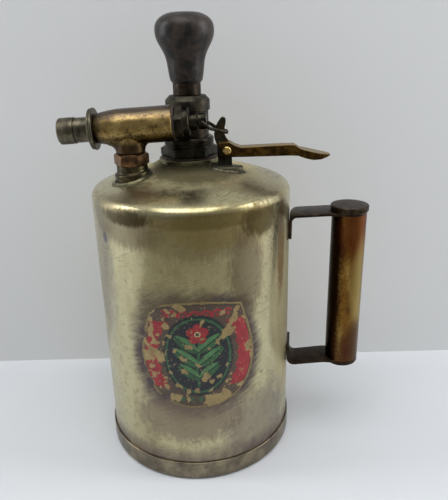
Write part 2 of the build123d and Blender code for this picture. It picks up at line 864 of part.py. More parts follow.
with BuildPart() as gland_packing:
    with BuildSketch(head_at(gland_rear_s - gland_recess_depth)):
        Circle(gland_recess_r - run_gap)
        Circle(stem_r + run_gap, mode=Mode.SUBTRACT)
    extrude(amount=packing_t)
gland_packing.part.label = "gland_packing"

packing_rear_s = gland_rear_s + packing_nut_len
with BuildPart() as packing_nut:
    with BuildSketch(head_at(gland_rear_s)):
        Circle(packing_nut_r)
    extrude(amount=packing_nut_len)
    fillet(packing_nut.edges().filter_by(GeomType.CIRCLE).sort_by(head_axis)[-1], 0.6)
    with BuildSketch(head_at(gland_rear_s - gland_recess_depth + packing_t)):
        Circle(gland_recess_r - run_gap)
    extrude(amount=gland_recess_depth - packing_t)
    with BuildSketch(head_at(gland_rear_s - gland_recess_depth + packing_t)):
        Circle(stem_r + run_gap)
    extrude(amount=gland_recess_depth - packing_t + packing_nut_len, mode=Mode.SUBTRACT)
packing_nut.part.label = "packing_nut"

# ---- Valve stem with its washer, spring and stirrup ----
washer_front_s = seat_s + rest_gap
stem_front_s = washer_front_s + stem_washer_t
stem_end_s = packing_rear_s + stem_end_gap
stem_hole_s = stem_end_s + stem_end_len / 2
with BuildPart() as valve_stem:
    with BuildSketch(head_at(stem_front_s)):
        Circle(stem_flange_r)
    extrude(amount=stem_flange_t)
    with BuildSketch(head_at(stem_front_s)):
        Circle(stem_r)
    extrude(amount=stem_end_s - stem_front_s)
    with BuildSketch(head_at(stem_end_s)):
        Circle(stem_end_r)
    extrude(amount=stem_end_len)
    ends = valve_stem.edges().filter_by(GeomType.CIRCLE).sort_by(head_axis)[-1]
    fillet(ends, 0.8)
    with BuildSketch(Plane(origin=head_origin + along * stem_hole_s, x_dir=along, z_dir=across)):
        Circle(wire_r + thread_gap)
    extrude(amount=stem_end_r + 1, both=True, mode=Mode.SUBTRACT)
valve_stem.part.label = "valve_stem"

with BuildPart() as stem_washer:
    with BuildSketch(head_at(washer_front_s)):
        Circle(stem_washer_r)
    extrude(amount=stem_washer_t)
stem_washer.part.label = "stem_washer"

coil_front_s = stem_front_s + stem_flange_t + return_wire_r + rest_gap
coil_rear_s = gland_face_s - gland_thread_len - return_wire_r - rest_gap
with BuildPart() as return_spring:
    with BuildLine() as return_coil:
        coil_rise = coil_rear_s - coil_front_s
        Helix(
            coil_rise / return_spring_turns,
            coil_rise,
            return_spring_r,
            center=head_origin + along * coil_front_s,
            direction=along,
        )
    coil = return_coil.wire()
    with BuildSketch(Plane(origin=coil @ 0, z_dir=coil % 0)):
        Circle(return_wire_r)
    sweep()
return_spring.part.label = "return_spring"

# ---- Lever frame: upright plane beside the head's axis ----
flat_along = Vector(cos(turn), sin(turn), 0)
lever_origin = Vector(head_x, head_y, 0) + across * lever_offset
lever_side = Plane(origin=lever_origin, x_dir=flat_along, z_dir=-across)


def lever_point(s, n, z):
    """Point s along the lever, n beside the head's axis, at height z."""
    return Vector(head_x, head_y, z) + flat_along * s + across * n


def lever_profile(drop, low):
    """Side outline of the pressing; drop lowers its top, low its bottom."""
    return [
        (pivot_s - 5.2, bar_bottom_z - low),
        (pivot_s - 5.2, pivot_z + 4.2 - drop),
        (pivot_s + 1.5, pivot_z + 4.2 - drop),
        (pivot_s + 4.6, bar_top_z + 1.0 - drop),
        (pivot_s + 7.6, bar_top_z - drop),
        (peak_s - 3, peak_z - drop),
        (peak_s + 1.4, peak_z - 0.1 - drop),
        (peak_s + 4.5, peak_z - 2.2 - drop),
        (peak_s + 10.0, peak_z - 3.5 - drop),
        (peak_s + 15.5, peak_z - 4.8 - drop),
        (tip_s, tip_z - drop),
        (tip_s, tip_z - 0.8 - drop - low),
        (tip_s - 2.5, tip_z - 1.4 - low),
        (tip_s - 5.8, tip_z - 2.3 - low),
        (tip_s - 10.3, tip_z - 2.4 - low),
        (tip_s - 14.4, tip_z - 1.5 - low),
        (peak_s + 3.0, bar_bottom_z - low),
    ]


def lever_plan(inset):
    """Half outline of the pressing seen from above, s against half width."""
    return [
        (pivot_s - 8, lever_w / 2 - inset),
        (pivot_s + 11, lever_w / 2 - inset),
        (peak_s - 2, lever_waist_w / 2 - inset),
        (peak_s + 2, lever_waist_w / 2 + 0.6 - inset),
        (peak_s + 8.2, pad_w / 2 - 0.3 - inset),
        (peak_s + 12.3, pad_w / 2 - inset),
        (tip_s - 5.2, pad_w / 2 - 0.9 - inset),
        (tip_s - 2.1, pad_w / 2 - 2.6 - inset),
        (tip_s - 0.5 - inset, 1.4 - 0.5 * inset),
    ]


plan_plane = Plane(origin=lever_origin, x_dir=flat_along, z_dir=(0, 0, 1))
fin_outline = [
    (pivot_s - 5.2, pivot_z + 2.0),
    (pivot_s - 6.4, pivot_z + 5.2),
    (pivot_s - 6.85, pivot_z + 8.35),
    (pivot_s - 6.2, pivot_z + 11.4),
    (pivot_s - 5.0, pivot_z + 14.15),
    (pivot_s - 3.55, pivot_z + 16.2),
]
fin_back = [
    (pivot_s - 0.35, pivot_z + 16.0),
    (pivot_s - 0.8, pivot_z + 12.6),
    (pivot_s - 1.3, pivot_z + 9.8),
    (pivot_s - 0.7, pivot_z + 7.2),
    (pivot_s + 1.3, pivot_z + 4.5),
    (pivot_s + 4.6, pivot_z + 2.1),
]
with BuildPart() as lever_hollow:
    with BuildSketch(lever_side):
        with BuildLine():
            Polyline(*lever_profile(lever_wall, 4.0), close=True)
        make_face()
    extrude(amount=pad_w, both=True)
    with BuildSketch(plan_plane.offset(bar_bottom_z - pad_w)):
        with BuildLine():
            half = lever_plan(lever_wall)
            Polyline(*half, *[(s, -w) for s, w in reversed(half)], close=True)
        make_face()
    extrude(amount=2 * pad_w, mode=Mode.INTERSECT)

with BuildPart() as lever:
    with BuildSketch(lever_side):
        with BuildLine():
            Polyline(*lever_profile(0, 0), close=True)
        make_face()
    extrude(amount=pad_w, both=True)
    with BuildSketch(plan_plane.offset(bar_bottom_z - pad_w)):
        with BuildLine():
            half = lever_plan(0)
            Polyline(*half, *[(s, -w) for s, w in reversed(half)], close=True)
        make_face()
    extrude(amount=2 * pad_w, mode=Mode.INTERSECT)
    add(lever_hollow.part, mode=Mode.SUBTRACT)
    # upright fin that the stirrup pulls against
    with BuildSketch(lever_side):
        with BuildLine():
            Spline(*fin_outline)
            ThreePointArc(fin_outline[-1], (pivot_s - 1.85, pivot_z + 17.4), fin_back[0])
            Spline(*fin_back)
            Line(fin_back[-1], (pivot_s + 1.5, pivot_z + 3.6))
            Line((pivot_s + 1.5, pivot_z + 3.6), (pivot_s - 4.8, pivot_z + 3.6))
            Line((pivot_s - 4.8, pivot_z + 3.6), fin_outline[0])
        make_face()
    extrude(amount=fin_t / 2, both=True)
    with BuildSketch(lever_side):
        with Locations((pivot_s, pivot_z)):
            Circle(pin_r + run_gap)
    extrude(amount=lever_w, both=True, mode=Mode.SUBTRACT)
lever.part.label = "lever"

post_t = lever_w - 2 * lever_wall - 2 * side_gap
with BuildPart() as lever_bracket:
    with BuildSketch(plan_plane.offset(foot_top_z)):
        with Locations((foot_s, 0)):
            Ellipse(foot_len / 2, foot_w / 2)
    extrude(amount=-9)
    fillet(lever_bracket.edges().sort_by(Axis.Z)[-1], 0.7)
    with BuildSketch(lever_side):
        with BuildLine():
            Polyline(
                (post_front_s, foot_top_z - 2),
                (post_front_s, pivot_z - 2.2),
                (pivot_s - post_round_r, pivot_z),
                (pivot_s, pivot_z),
                (pivot_s + 2.4, pivot_z),
                (post_rear_s, pivot_z - 2.2),
                (post_rear_s, foot_top_z - 2),
                close=True,
            )
        make_face()
        with Locations((pivot_s, pivot_z)):
            Circle(post_round_r)
    extrude(amount=post_t / 2, both=True)
    with Locations((0, 0, dome_cz)):
        Sphere(dome_r + solder_gap, mode=Mode.SUBTRACT)
    # relief round the raised neck of the tank
    with BuildSketch(pump_side):
        with BuildLine():
            Polyline(*neck_form(solder_gap), close=True)
        make_face()
    revolve(axis=pump_axis, mode=Mode.SUBTRACT)
    with BuildSketch(lever_side):
        with Locations((pivot_s, pivot_z)):
            Circle(pin_r + run_gap)
    extrude(amount=lever_w, both=True, mode=Mode.SUBTRACT)
lever_bracket.part.label = "lever_bracket"

cheek = lever_w / 2 + side_gap
pin_plane = Plane(origin=lever_point(pivot_s, lever_offset, pivot_z), x_dir=flat_along, z_dir=-across)
with BuildPart() as pivot_pin:
    with BuildSketch(pin_plane.offset(-cheek)):
        Circle(pin_r)
    extrude(amount=2 * cheek)
    with BuildSketch(pin_plane.offset(cheek)):
        Circle(pin_head_r)
    extrude(amount=pin_head_h)
    with BuildSketch(pin_plane.offset(-cheek)):
        Circle(pin_tail_r)
    extrude(amount=-pin_tail_h)
    rims = pivot_pin.edges().filter_by(GeomType.CIRCLE).sort_by(Axis(pin_plane.origin, pin_plane.z_dir))
    fillet(rims[-1], 1.0)
    fillet(rims[0], 0.5)
pivot_pin.part.label = "pivot_pin"

# the stirrup runs from the stem's cross hole round both sides of the fin
strand = fin_t / 2 + wire_gap + wire_r
near_n = lever_offset - strand
far_n = lever_offset + strand
stem_eye = head_origin + along * stem_hole_s
stem_side_n = stem_end_r + wire_r + 0.4
turn_s = pivot_s - 1.2 + wire_gap + wire_r
wire_points = [
    stem_eye - across * 0.4,
    stem_eye - across * stem_side_n,
    lever_point(stirrup_knee_s, 1.2 - stem_side_n, stirrup_knee_z),
    lever_point(pivot_s - 4.6, near_n, stirrup_end_z + 1.4),
    lever_point(turn_s, near_n, stirrup_end_z),
    lever_point(turn_s, far_n, stirrup_end_z),
    lever_point(pivot_s - 4.6, far_n, stirrup_end_z + 1.4),
    stem_eye + across * stem_side_n,
    stem_eye + across * 0.4,
]
with BuildPart() as stirrup:
    with BuildLine() as wire_path:
        FilletPolyline(*wire_points, radius=stirrup_bend_r)
    bent = wire_path.wire()
    with BuildSketch(Plane(origin=bent @ 0, z_dir=bent % 0)):
        Circle(wire_r)
    sweep()
stirrup.part.label = "stirrup"

# ---- Grip ----
upper_eye_z = grip_top_z - grip_cap_t - strap_t
lower_eye_z = grip_bottom_z + grip_foot_t
tube_low_z = lower_eye_z + strap_t
with BuildPart() as grip_tube:
    with BuildSketch(Plane.XY.offset(tube_low_z)):
        with Locations((grip_x, 0)):
            Circle(grip_r)
            Circle(grip_r - grip_wall, mode=Mode.SUBTRACT)
    extrude(amount=upper_eye_z - tube_low_z)
grip_tube.part.label = "grip_tube"

with BuildPart() as grip_cap:
    with BuildSketch(Plane.XY.offset(upper_eye_z + strap_t)):
        with Locations((grip_x, 0)):
            Circle(grip_cap_r)
    extrude(amount=grip_cap_t)
    fillet(grip_cap.edges().filter_by(GeomType.CIRCLE), 0.6)
    with BuildSketch(Plane.XY.offset(upper_eye_z + strap_t)):
        with Locations((grip_x, 0)):
            Circle(grip_rod_r + thread_gap)
    extrude(amount=grip_cap_t * 0.6, mode=Mode.SUBTRACT)
grip_cap.part.label = "grip_cap"

with BuildPart() as grip_foot:
    with BuildSketch(Plane.XY.offset(grip_bottom_z)):
        with Locations((grip_x, 0)):
            Circle(grip_r)
    extrude(amount=grip_foot_t)
    fillet(grip_foot.edges().filter_by(GeomType.CIRCLE).sort_by(Axis.Z)[0], 1.1)
    with BuildSketch(Plane.XY.offset(grip_bottom_z)):
        with Locations((grip_x, 0)):
            Circle(grip_rod_r + thread_gap)
    extrude(amount=grip_foot_t, mode=Mode.SUBTRACT)
grip_foot.part.label = "grip_foot"

with BuildPart() as grip_rod:
    with BuildSketch(Plane.XY.offset(grip_bottom_z + 0.3)):
        with Locations((grip_x, 0)):
            Circle(grip_rod_r)
    extrude(amount=grip_top_z - grip_cap_t * 0.4 - 0.2 - grip_bottom_z - 0.3)
grip_rod.part.label = "grip_rod"

# straps: a tab soldered to the tank, a bend, a run and a round eye
tab_x = tank_r + solder_gap
run_x = grip_x - grip_r - 1.5


def strap_section(eye_z, tank_z, way):
    """Section in XZ; way is -1 for a tab that hangs down, +1 for one that stands up."""
    near = tank_z if way > 0 else tank_z + strap_t
    far = tank_z + strap_t if way > 0 else tank_z
    end = tank_z + way * strap_tab if way > 0 else tank_z + strap_t - strap_tab
    low = eye_z if way > 0 else eye_z + strap_t
    high = eye_z + strap_t if way > 0 else eye_z
    return [
        (tab_x, end),
        (tab_x, near),
        (run_x, low),
        (grip_x, low),
        (grip_x, high),
        (run_x, high),
        (tab_x + strap_t, far),
        (tab_x + strap_t, end),
    ]


def strap(eye_z, tank_z, way):
    """One strap as a separate solid."""
    points = strap_section(eye_z, tank_z, way)
    with BuildPart() as piece:
        with BuildSketch(Plane.XZ) as section:
            with BuildLine():
                Polyline(*points, close=True)
            make_face()
            outside = section.vertices().sort_by_distance((points[1][0], points[1][1], 0))[0]
            fillet(outside, strap_bend_r + strap_t)
            inside = section.vertices().sort_by_distance((points[6][0], points[6][1], 0))[0]
            fillet(inside, strap_bend_r)
        extrude(amount=strap_w / 2, both=True)
        with BuildSketch(Plane.XY.offset(eye_z)):
            with Locations((grip_x, 0)):
                Circle(grip_r)
        extrude(amount=strap_t)
        # the run ends where the eye's round edge takes over
        with BuildSketch(Plane.XY.offset(eye_z - 2 * strap_tab)):
            with Locations((tab_x - 1 + (grip_x - tab_x + 1) / 2, 0)):
                Rectangle(grip_x - tab_x + 1, strap_w)
            with Locations((grip_x, 0)):
                Circle(grip_r)
        extrude(amount=4 * strap_tab, mode=Mode.INTERSECT)
        with BuildSketch(Plane.XY.offset(eye_z - 2 * strap_tab)):
            with Locations((grip_x, 0)):
                Circle(grip_rod_r + thread_gap)
        extrude(amount=4 * strap_tab, mode=Mode.SUBTRACT)
        # the tab is curved to the tank's wall
        with BuildSketch(Plane.XY.offset(eye_z - 2 * strap_tab)):
            Circle(tank_r + solder_gap)
        extrude(amount=4 * strap_tab, mode=Mode.SUBTRACT)
    return piece.part


upper_strap = strap(upper_eye_z, upper_eye_z - upper_drop, -1)
upper_strap.label = "upper_strap"
lower_strap = strap(lower_eye_z, lower_eye_z - lower_drop, 1)
lower_strap.label = "lower_strap"

# ---- Write every piece ----
pieces = [
    tank_shell.part,
    base_pan.part,
    seat_ring.part,
    pump_washer.part,
    pump_boss.part,
    pump_barrel.part,
    pump_cap.part,
    rod_guide.part,
    pump_rod.part,
    piston_plate.part,
    piston_cup.part,
    piston_spreader.part,
    piston_nut.part,
    knob_ferrule.part,
    knob.part,
    foot_plug.part,
    foot_cage.part,
    foot_disc.part,
    foot_spring.part,
    riser_flange.part,
    riser_nut.part,
    dip_tube.part,
    strainer.part,
    valve_body.part,
    nozzle_tube.part,
    rear_disc.part,
    front_disc.part,
    swirl_disc.part,
    nozzle_cap.part,
    gland_washer.part,
    gland_nut.part,
    gland_packing.part,
    packing_nut.part,
    valve_stem.part,
    stem_washer.part,
    return_spring.part,
    stirrup.part,
    lever.part,
    lever_bracket.part,
    pivot_pin.part,
    grip_tube.part,
    grip_cap.part,
    grip_foot.part,
    grip_rod.part,
    upper_strap,
    lower_strap,
]
os.makedirs("parts", exist_ok=True)
for piece in pieces:
    export_step(piece, f"parts/{piece.label}.step")
print(f"overall height {knob_top_z:.1f} mm, {len(pieces)} pieces")
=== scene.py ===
import bmesh
import bpy
import math
from mathutils import Matrix, Vector, noise
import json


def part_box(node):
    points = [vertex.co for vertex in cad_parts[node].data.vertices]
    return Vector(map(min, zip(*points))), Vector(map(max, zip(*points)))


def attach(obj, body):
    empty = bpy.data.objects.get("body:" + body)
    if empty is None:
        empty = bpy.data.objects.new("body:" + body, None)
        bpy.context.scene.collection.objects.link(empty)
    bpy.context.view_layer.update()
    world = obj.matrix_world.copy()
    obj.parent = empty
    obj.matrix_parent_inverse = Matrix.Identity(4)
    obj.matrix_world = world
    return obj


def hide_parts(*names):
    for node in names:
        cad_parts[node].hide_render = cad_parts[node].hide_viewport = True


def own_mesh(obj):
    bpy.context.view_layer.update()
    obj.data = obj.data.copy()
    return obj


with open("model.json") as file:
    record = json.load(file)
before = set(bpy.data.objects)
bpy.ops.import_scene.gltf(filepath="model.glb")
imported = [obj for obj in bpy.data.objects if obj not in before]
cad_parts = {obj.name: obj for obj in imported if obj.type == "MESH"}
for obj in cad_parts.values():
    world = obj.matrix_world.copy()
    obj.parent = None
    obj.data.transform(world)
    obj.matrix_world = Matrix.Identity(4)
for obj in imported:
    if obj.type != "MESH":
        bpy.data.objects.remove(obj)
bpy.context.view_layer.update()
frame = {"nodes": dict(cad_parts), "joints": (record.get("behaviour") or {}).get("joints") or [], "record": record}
cadNodes = frame["nodes"]
bodyOf = {node: body for body, nodes in frame["record"]["behaviour"]["bodies"].items() for node in nodes}
slotOf = {part["node"]: part["material_slot"] for part in frame["record"]["subparts"]}
print("frame loaded with", len(cadNodes), "nodes")

mm = 0.001


def boxMm(name):
    # a node's lowest and highest corners as packed, in millimetres
    low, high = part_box(name)
    return Vector(low) / mm, Vector(high) / mm


tankLow, tankHigh = boxMm("tank_shell")
ringHigh = boxMm("seat_ring")[1]
barrelLow, barrelHigh = boxMm("pump_barrel")
riserLow, riserHigh = boxMm("riser_flange")
nutLow, nutHigh = boxMm("riser_nut")
footLow, footHigh = boxMm("lever_bracket")
upperLow, upperHigh = boxMm("upper_strap")
lowerLow, lowerHigh = boxMm("lower_strap")
pumpAt = ((barrelLow + barrelHigh) / 2).to_2d()
headAt = ((nutLow + nutHigh) / 2).to_2d()
tankR = tankHigh.x


def linearColor(hexText):
    # sRGB hex to the linear colour that shaders use
    parts = [int(hexText[i:i + 2], 16) / 255 for i in (1, 3, 5)]
    line = [p / 12.92 if p <= 0.04045 else ((p + 0.055) / 1.055) ** 2.4 for p in parts]
    return (*line, 1.0)


def addNode(tree, kind, inputs=(), out=0, stops=(), **settings):
    # adds one node and gives one of its outputs; an input is a value, a hex colour or a socket to link
    node = tree.nodes.new(kind)
    for name, value in settings.items():
        setattr(node, name, value)
    for name, value in inputs.items() if isinstance(inputs, dict) else enumerate(inputs):
        if isinstance(value, bpy.types.NodeSocket):
            tree.links.new(value, node.inputs[name])
        else:
            node.inputs[name].default_value = linearColor(value) if isinstance(value, str) else value
    if stops:
        ramp = node.color_ramp
        ramp.interpolation = "EASE"
        while len(ramp.elements) < len(stops):
            ramp.elements.new(0.5)
        for element, (position, tone) in zip(ramp.elements, stops):
            element.position = position
            element.color = linearColor(tone)
    return node.outputs[out] if len(node.outputs) else node


def newMaterial(name):
    # an empty material, its tree, and the Object coordinates that its patterns follow
    material = bpy.data.materials.new(name)
    material.use_nodes = True
    tree = material.node_tree
    tree.nodes.clear()
    return material, tree, addNode(tree, "ShaderNodeTexCoord", out="Object")


def grain(tree, place, sizeMm, detail, rough, stretch=(1, 1, 1), shift=(0, 0, 0), turn=(0, 0, 0)):
    # noise whose blobs are about sizeMm across, drawn out along an axis whose stretch is above 1
    scale = [1 / (sizeMm * mm * s) for s in stretch]
    turned = addNode(tree, "ShaderNodeVectorRotate", {"Vector": place, "Rotation": turn},
                     rotation_type="EULER_XYZ")
    mapped = addNode(tree, "ShaderNodeMapping", {"Vector": turned, "Location": shift, "Scale": scale})
    return addNode(tree, "ShaderNodeTexNoise",
                   {"Vector": mapped, "Scale": 1.0, "Detail": detail, "Roughness": rough})


def blob(tree, place, center, size, frayed, fray):
    # soft spot round a point: 1 inside, 0 outside, its edge frayed by a noise
    scale = [1 / (s * mm) for s in size]
    shift = [-c * mm * s for c, s in zip(center, scale)]
    mapped = addNode(tree, "ShaderNodeMapping", {"Vector": place, "Location": shift, "Scale": scale})
    far = addNode(tree, "ShaderNodeVectorMath", [mapped], "Value", operation="LENGTH")
    ragged = addNode(tree, "ShaderNodeMath", [frayed, -2 * fray, fray], operation="MULTIPLY_ADD")
    far = addNode(tree, "ShaderNodeMath", [far, ragged], operation="ADD")
    return addNode(tree, "ShaderNodeMapRange", [far, 1.15, 0.65], interpolation_type="SMOOTHSTEP")


def layer(tree, under, over, mask, strength, between=None):
    # lays one tone over another where the mask is 1, or where a noise is high between two levels;
    # gives the new tone and the share of it that comes from above
    if between:
        mask = addNode(tree, "ShaderNodeMapRange", [mask, *between], interpolation_type="SMOOTHSTEP")
    share = addNode(tree, "ShaderNodeMath", [mask, strength], operation="MULTIPLY")
    return addNode(tree, "ShaderNodeMix", {0: share, 6: under, 7: over}, 2, data_type="RGBA"), share


def wallPoint(angle, height):
    # point in millimetres on the tank's wall at an angle in degrees round it
    turn = math.radians(angle)
    return (tankR * math.cos(turn), tankR * math.sin(turn), height)


# old brass, coloured by how its part was made and used, with light and shade painted onto some parts;
# tones run from bright to the thickest skin of oxide
# facingLightAndWear is a tone painted on the faces that look one way, mostly painted light and shade, on the
# lever partly thumb wear: direction, where it starts and is full, tone, strength
# brushed lines are really about 0.1 mm wide and are drawn about 0.4 mm wide, as coarse as the render shows
brassLooks = {
    # spun sheet, once polished: straw, fine lines round it, violet brown stain round the transfer
    "spunTankBrass": {"tones": ("#cbc39c", "#bbb28c", "#a09775", "#6b5c50"), "haze": "#4f444a",
        "cloudMm": 26, "cloudStretch": (1, 1, 2.2), "brushMm": 0.45, "brushStretch": (1, 1, 22),
        "rough": 0.25, "roughSpread": 0.16, "dentMm": 0.16, "scratchMm": 0.006, "brush": 0.22,
        "spots": 0.42, "scuff": 0.55, "scuffTurn": 0.3},
    # brass under a skin of solder: green grey and dull
    "tinnedCrownBrass": {"tones": ("#7d795d", "#65614a", "#494638", "#333127"), "rough": 0.4, "spots": 0.6},
    # pressed sheet worn by the table: brown straw, brushed round
    "pressedFootBrass": {"tones": ("#948a72", "#776e5e", "#594f46", "#453a33"), "cloudMm": 14,
        "brushMm": 0.4, "brushStretch": (14, 14, 1), "rough": 0.32, "brush": 0.25},
    # sand casting filed smooth, gold on its sides; its tops painted greyish brown as a painted reflection of the
    # sky, its undersides painted near black as shade, and its faces that look toward -x painted darker
    "castHeadBrass": {"tones": ("#bfa468", "#9c8350", "#5f4d35", "#2f251c"), "rough": 0.3, "spots": 0.9,
        "facingLightAndWear": [((0, 0, 1), 0.3, 0.85, "#534a44", 0.92), ((0, 0, -1), 0.0, 0.75, "#261e16", 0.9),
        ((-1, 0, 0), 0.15, 0.6, "#4d4338", 0.7)]},
    # turned from hexagon bar: warm brown
    "turnedNutBrass": {"tones": ("#947150", "#70553b", "#4b3b2b", "#241b15"), "rough": 0.34, "spots": 0.6},
    # turned from round bar: an even grey olive
    "turnedNozzleBrass": {"tones": ("#746e5b", "#575245", "#403c34", "#24221e"), "rough": 0.38,
        "spots": 0.4},
    # turned, soaked in oil from the gland: nearly black with a low gloss
    "turnedGlandBrass": {"tones": ("#3a362d", "#25231d", "#181613", "#0f0d0b"), "rough": 0.32},
    # bent strip: dark brown all over
    "blackenedStripBrass": {"tones": ("#4c3f32", "#332a21", "#221b15", "#17120f"), "rough": 0.4},
    # turned from bar: dark olive, satin
    "turnedCapBrass": {"tones": ("#474439", "#35322a", "#27251f", "#1a1815"), "cloudMm": 6, "rough": 0.46,
        "spots": 0.4},
    # casting with dirt in its grooves: black olive, darkened further as painted shade
    "castBossBrass": {"tones": ("#39362b", "#28251e", "#1a1914", "#11100d"), "cloudMm": 6, "rough": 0.36,
        "spots": 0.4},
    # drawn tube: dark and dull
    "drawnBarrelBrass": {"tones": ("#423931", "#302922", "#221d19", "#161311"), "rough": 0.44},
    # drawn tube rubbed by the hand: copper brown to gold, with its outer side painted lighter as a highlight and
    # its side next to the tank painted near black as shade
    "drawnGripBrass": {"tones": ("#a98a4a", "#7d5a28", "#4b3017", "#24160d"), "cloudMm": 9,
        "cloudStretch": (1, 1, 3.0), "rough": 0.28, "spots": 0.6, "facingFray": 0.5,
        "facingLightAndWear": [((1, 0, 0), 0.2, 0.8, "#8a7a4a", 0.7), ((-1, 0, 0), 0.12, 0.55, "#1f0d06", 0.97)]},
    # small casting with solder run over it: olive
    "castFlangeBrass": {"tones": ("#5c543c", "#423c2d", "#2f2b22", "#201d18"), "cloudMm": 4, "rough": 0.34,
        "spots": 0.6},
    # pressed post: black olive
    "pressedBracketBrass": {"tones": ("#302f27", "#23221d", "#1a1915", "#12110f"), "cloudMm": 4,
        "rough": 0.4},
    # pressed channel: brown gold, lighter on top, partly from rubbing by the thumb and partly as a painted
    # highlight
    "pressedLeverBrass": {"tones": ("#6a5027", "#46341b", "#2a2013", "#15100b"), "rough": 0.32,
        "spots": 0.6, "facingLightAndWear": [((0, 0, 1), 0.55, 0.95, "#9d8246", 0.8)]},
}


def brass(name, look, stainsAndPaintedLight=()):
    # clouds of tone, specks, brushed lines and rubs, then painted light and shade on faces that look one way, then
    # stains, rubs and patches of painted shade and painted reflection
    material, tree, place = newMaterial(name)
    light, mid, dark, spot = look["tones"]
    cloudMm = look.get("cloudMm", 5)
    broad = grain(tree, place, cloudMm, 5, 0.6, look.get("cloudStretch", (1, 1, 1)))
    fine = grain(tree, place, cloudMm * 0.2, 6, 0.7, shift=(3, 1, 2))
    brushed = grain(tree, place, look.get("brushMm", 0.4), 3, 0.6, look.get("brushStretch", (1, 1, 12)))
    tone = addNode(tree, "ShaderNodeValToRGB", [broad], stops=[(0.32, dark), (0.46, mid), (0.62, light)])
    tone, speckle = layer(tree, tone, spot, fine, look.get("spots", 0.5), between=(0.54, 0.7))
    tone = layer(tree, tone, dark, brushed, look.get("brush", 0.15), between=(0.35, 0.75))[0]
    dull = addNode(tree, "ShaderNodeMath", [speckle, 0.12], operation="MULTIPLY")
    if look.get("scuff"):
        scuffed = grain(tree, place, 0.55, 3, 0.7, (16, 16, 1), (1, 2, 3), turn=(0, look["scuffTurn"], 0))
        scuffed = addNode(tree, "ShaderNodeMapRange", [scuffed, 0.5, 0.68], interpolation_type="SMOOTHSTEP")
        where = grain(tree, place, 14, 3, 0.6, shift=(5, 9, 1))
        where = addNode(tree, "ShaderNodeMapRange", [where, 0.42, 0.62], interpolation_type="SMOOTHSTEP")
        scuffed = addNode(tree, "ShaderNodeMath", [scuffed, where], operation="MULTIPLY")
        tone = layer(tree, tone, spot, scuffed, look["scuff"])[0]
        dull = addNode(tree, "ShaderNodeMath", [scuffed, 0.12, dull], operation="MULTIPLY_ADD")
    if look.get("facingLightAndWear"):
        normal = addNode(tree, "ShaderNodeTexCoord", out="Normal")
        fray = look.get("facingFray", 1.2)
        ragged = addNode(tree, "ShaderNodeMath", [fine, fray, -0.5 * fray], operation="MULTIPLY_ADD")
    # tones painted by the way a face looks: light and shade standing in for the lamps, on the lever partly wear
    for axis, low, high, lightAndWearTone, strength in look.get("facingLightAndWear", []):
        turned = addNode(tree, "ShaderNodeVectorMath", [normal, axis], "Value", operation="DOT_PRODUCT")
        turned = addNode(tree, "ShaderNodeMath", [turned, ragged], operation="ADD")
        tone = layer(tree, tone, lightAndWearTone, turned, strength, between=(low, high))[0]
    if look.get("haze"):
        haze = addNode(tree, "ShaderNodeAttribute", out="Fac", attribute_name="haze")
        frayed = grain(tree, place, 0.8, 4, 0.7, (12, 12, 1), (4, 2, 6), turn=(0, 0.55, 0))
        haze = addNode(tree, "ShaderNodeMath", [haze, 0.35], operation="SUBTRACT")
        haze = addNode(tree, "ShaderNodeMath", [frayed, 0.7, haze], operation="MULTIPLY_ADD")
        haze = addNode(tree, "ShaderNodeMapRange", [haze, 0.0, 0.95], interpolation_type="SMOOTHSTEP")
        tone = layer(tree, tone, look["haze"], haze, 0.95)[0]
        dull = addNode(tree, "ShaderNodeMath", [haze, 0.1, dull], operation="MULTIPLY_ADD")
    for mark in stainsAndPaintedLight:
        frayed = grain(tree, place, mark["grainMm"], 6, 0.7, mark["stretch"], (7, 5, 3))
        mask = blob(tree, place, mark["at"], mark["size"], frayed, mark["fray"])
        tone, share = layer(tree, tone, mark["tone"], mask, mark["strength"])
        dull = addNode(tree, "ShaderNodeMath", [share, mark["dull"], dull], operation="MULTIPLY_ADD")
    rough = addNode(tree, "ShaderNodeMath", [fine, look.get("roughSpread", 0.18), look["rough"] - 0.08],
                    operation="MULTIPLY_ADD")
    rough = addNode(tree, "ShaderNodeMath", [rough, dull], operation="ADD")
    dents = addNode(tree, "ShaderNodeMath", [broad, look.get("dentMm", 0.08) * mm], operation="MULTIPLY")
    scratches = addNode(tree, "ShaderNodeMath", [brushed, look.get("scratchMm", 0.008) * mm],
                        operation="MULTIPLY")
    height = addNode(tree, "ShaderNodeMath", [dents, scratches], operation="ADD")
    bump = addNode(tree, "ShaderNodeBump", {"Strength": 1.0, "Distance": 1.0, "Height": height})
    shader = addNode(tree, "ShaderNodeBsdfPrincipled",
                     {"Base Color": tone, "Metallic": 1.0, "Roughness": rough, "Normal": bump})
    addNode(tree, "ShaderNodeOutputMaterial", [shader])
    return material


def stainAndPaintedLight(at, size, strength, tone, grainMm=4, stretch=(1, 1, 2), fray=0.6, dull=0.12):
    # a patch of tone round a point, a stain, a bright rub, painted shade or a painted reflection: place and reach
    # in millimetres, and how far it covers what is below
    return {"at": at, "size": size, "strength": strength, "tone": tone, "grainMm": grainMm,
            "stretch": stretch, "fray": fray, "dull": dull}
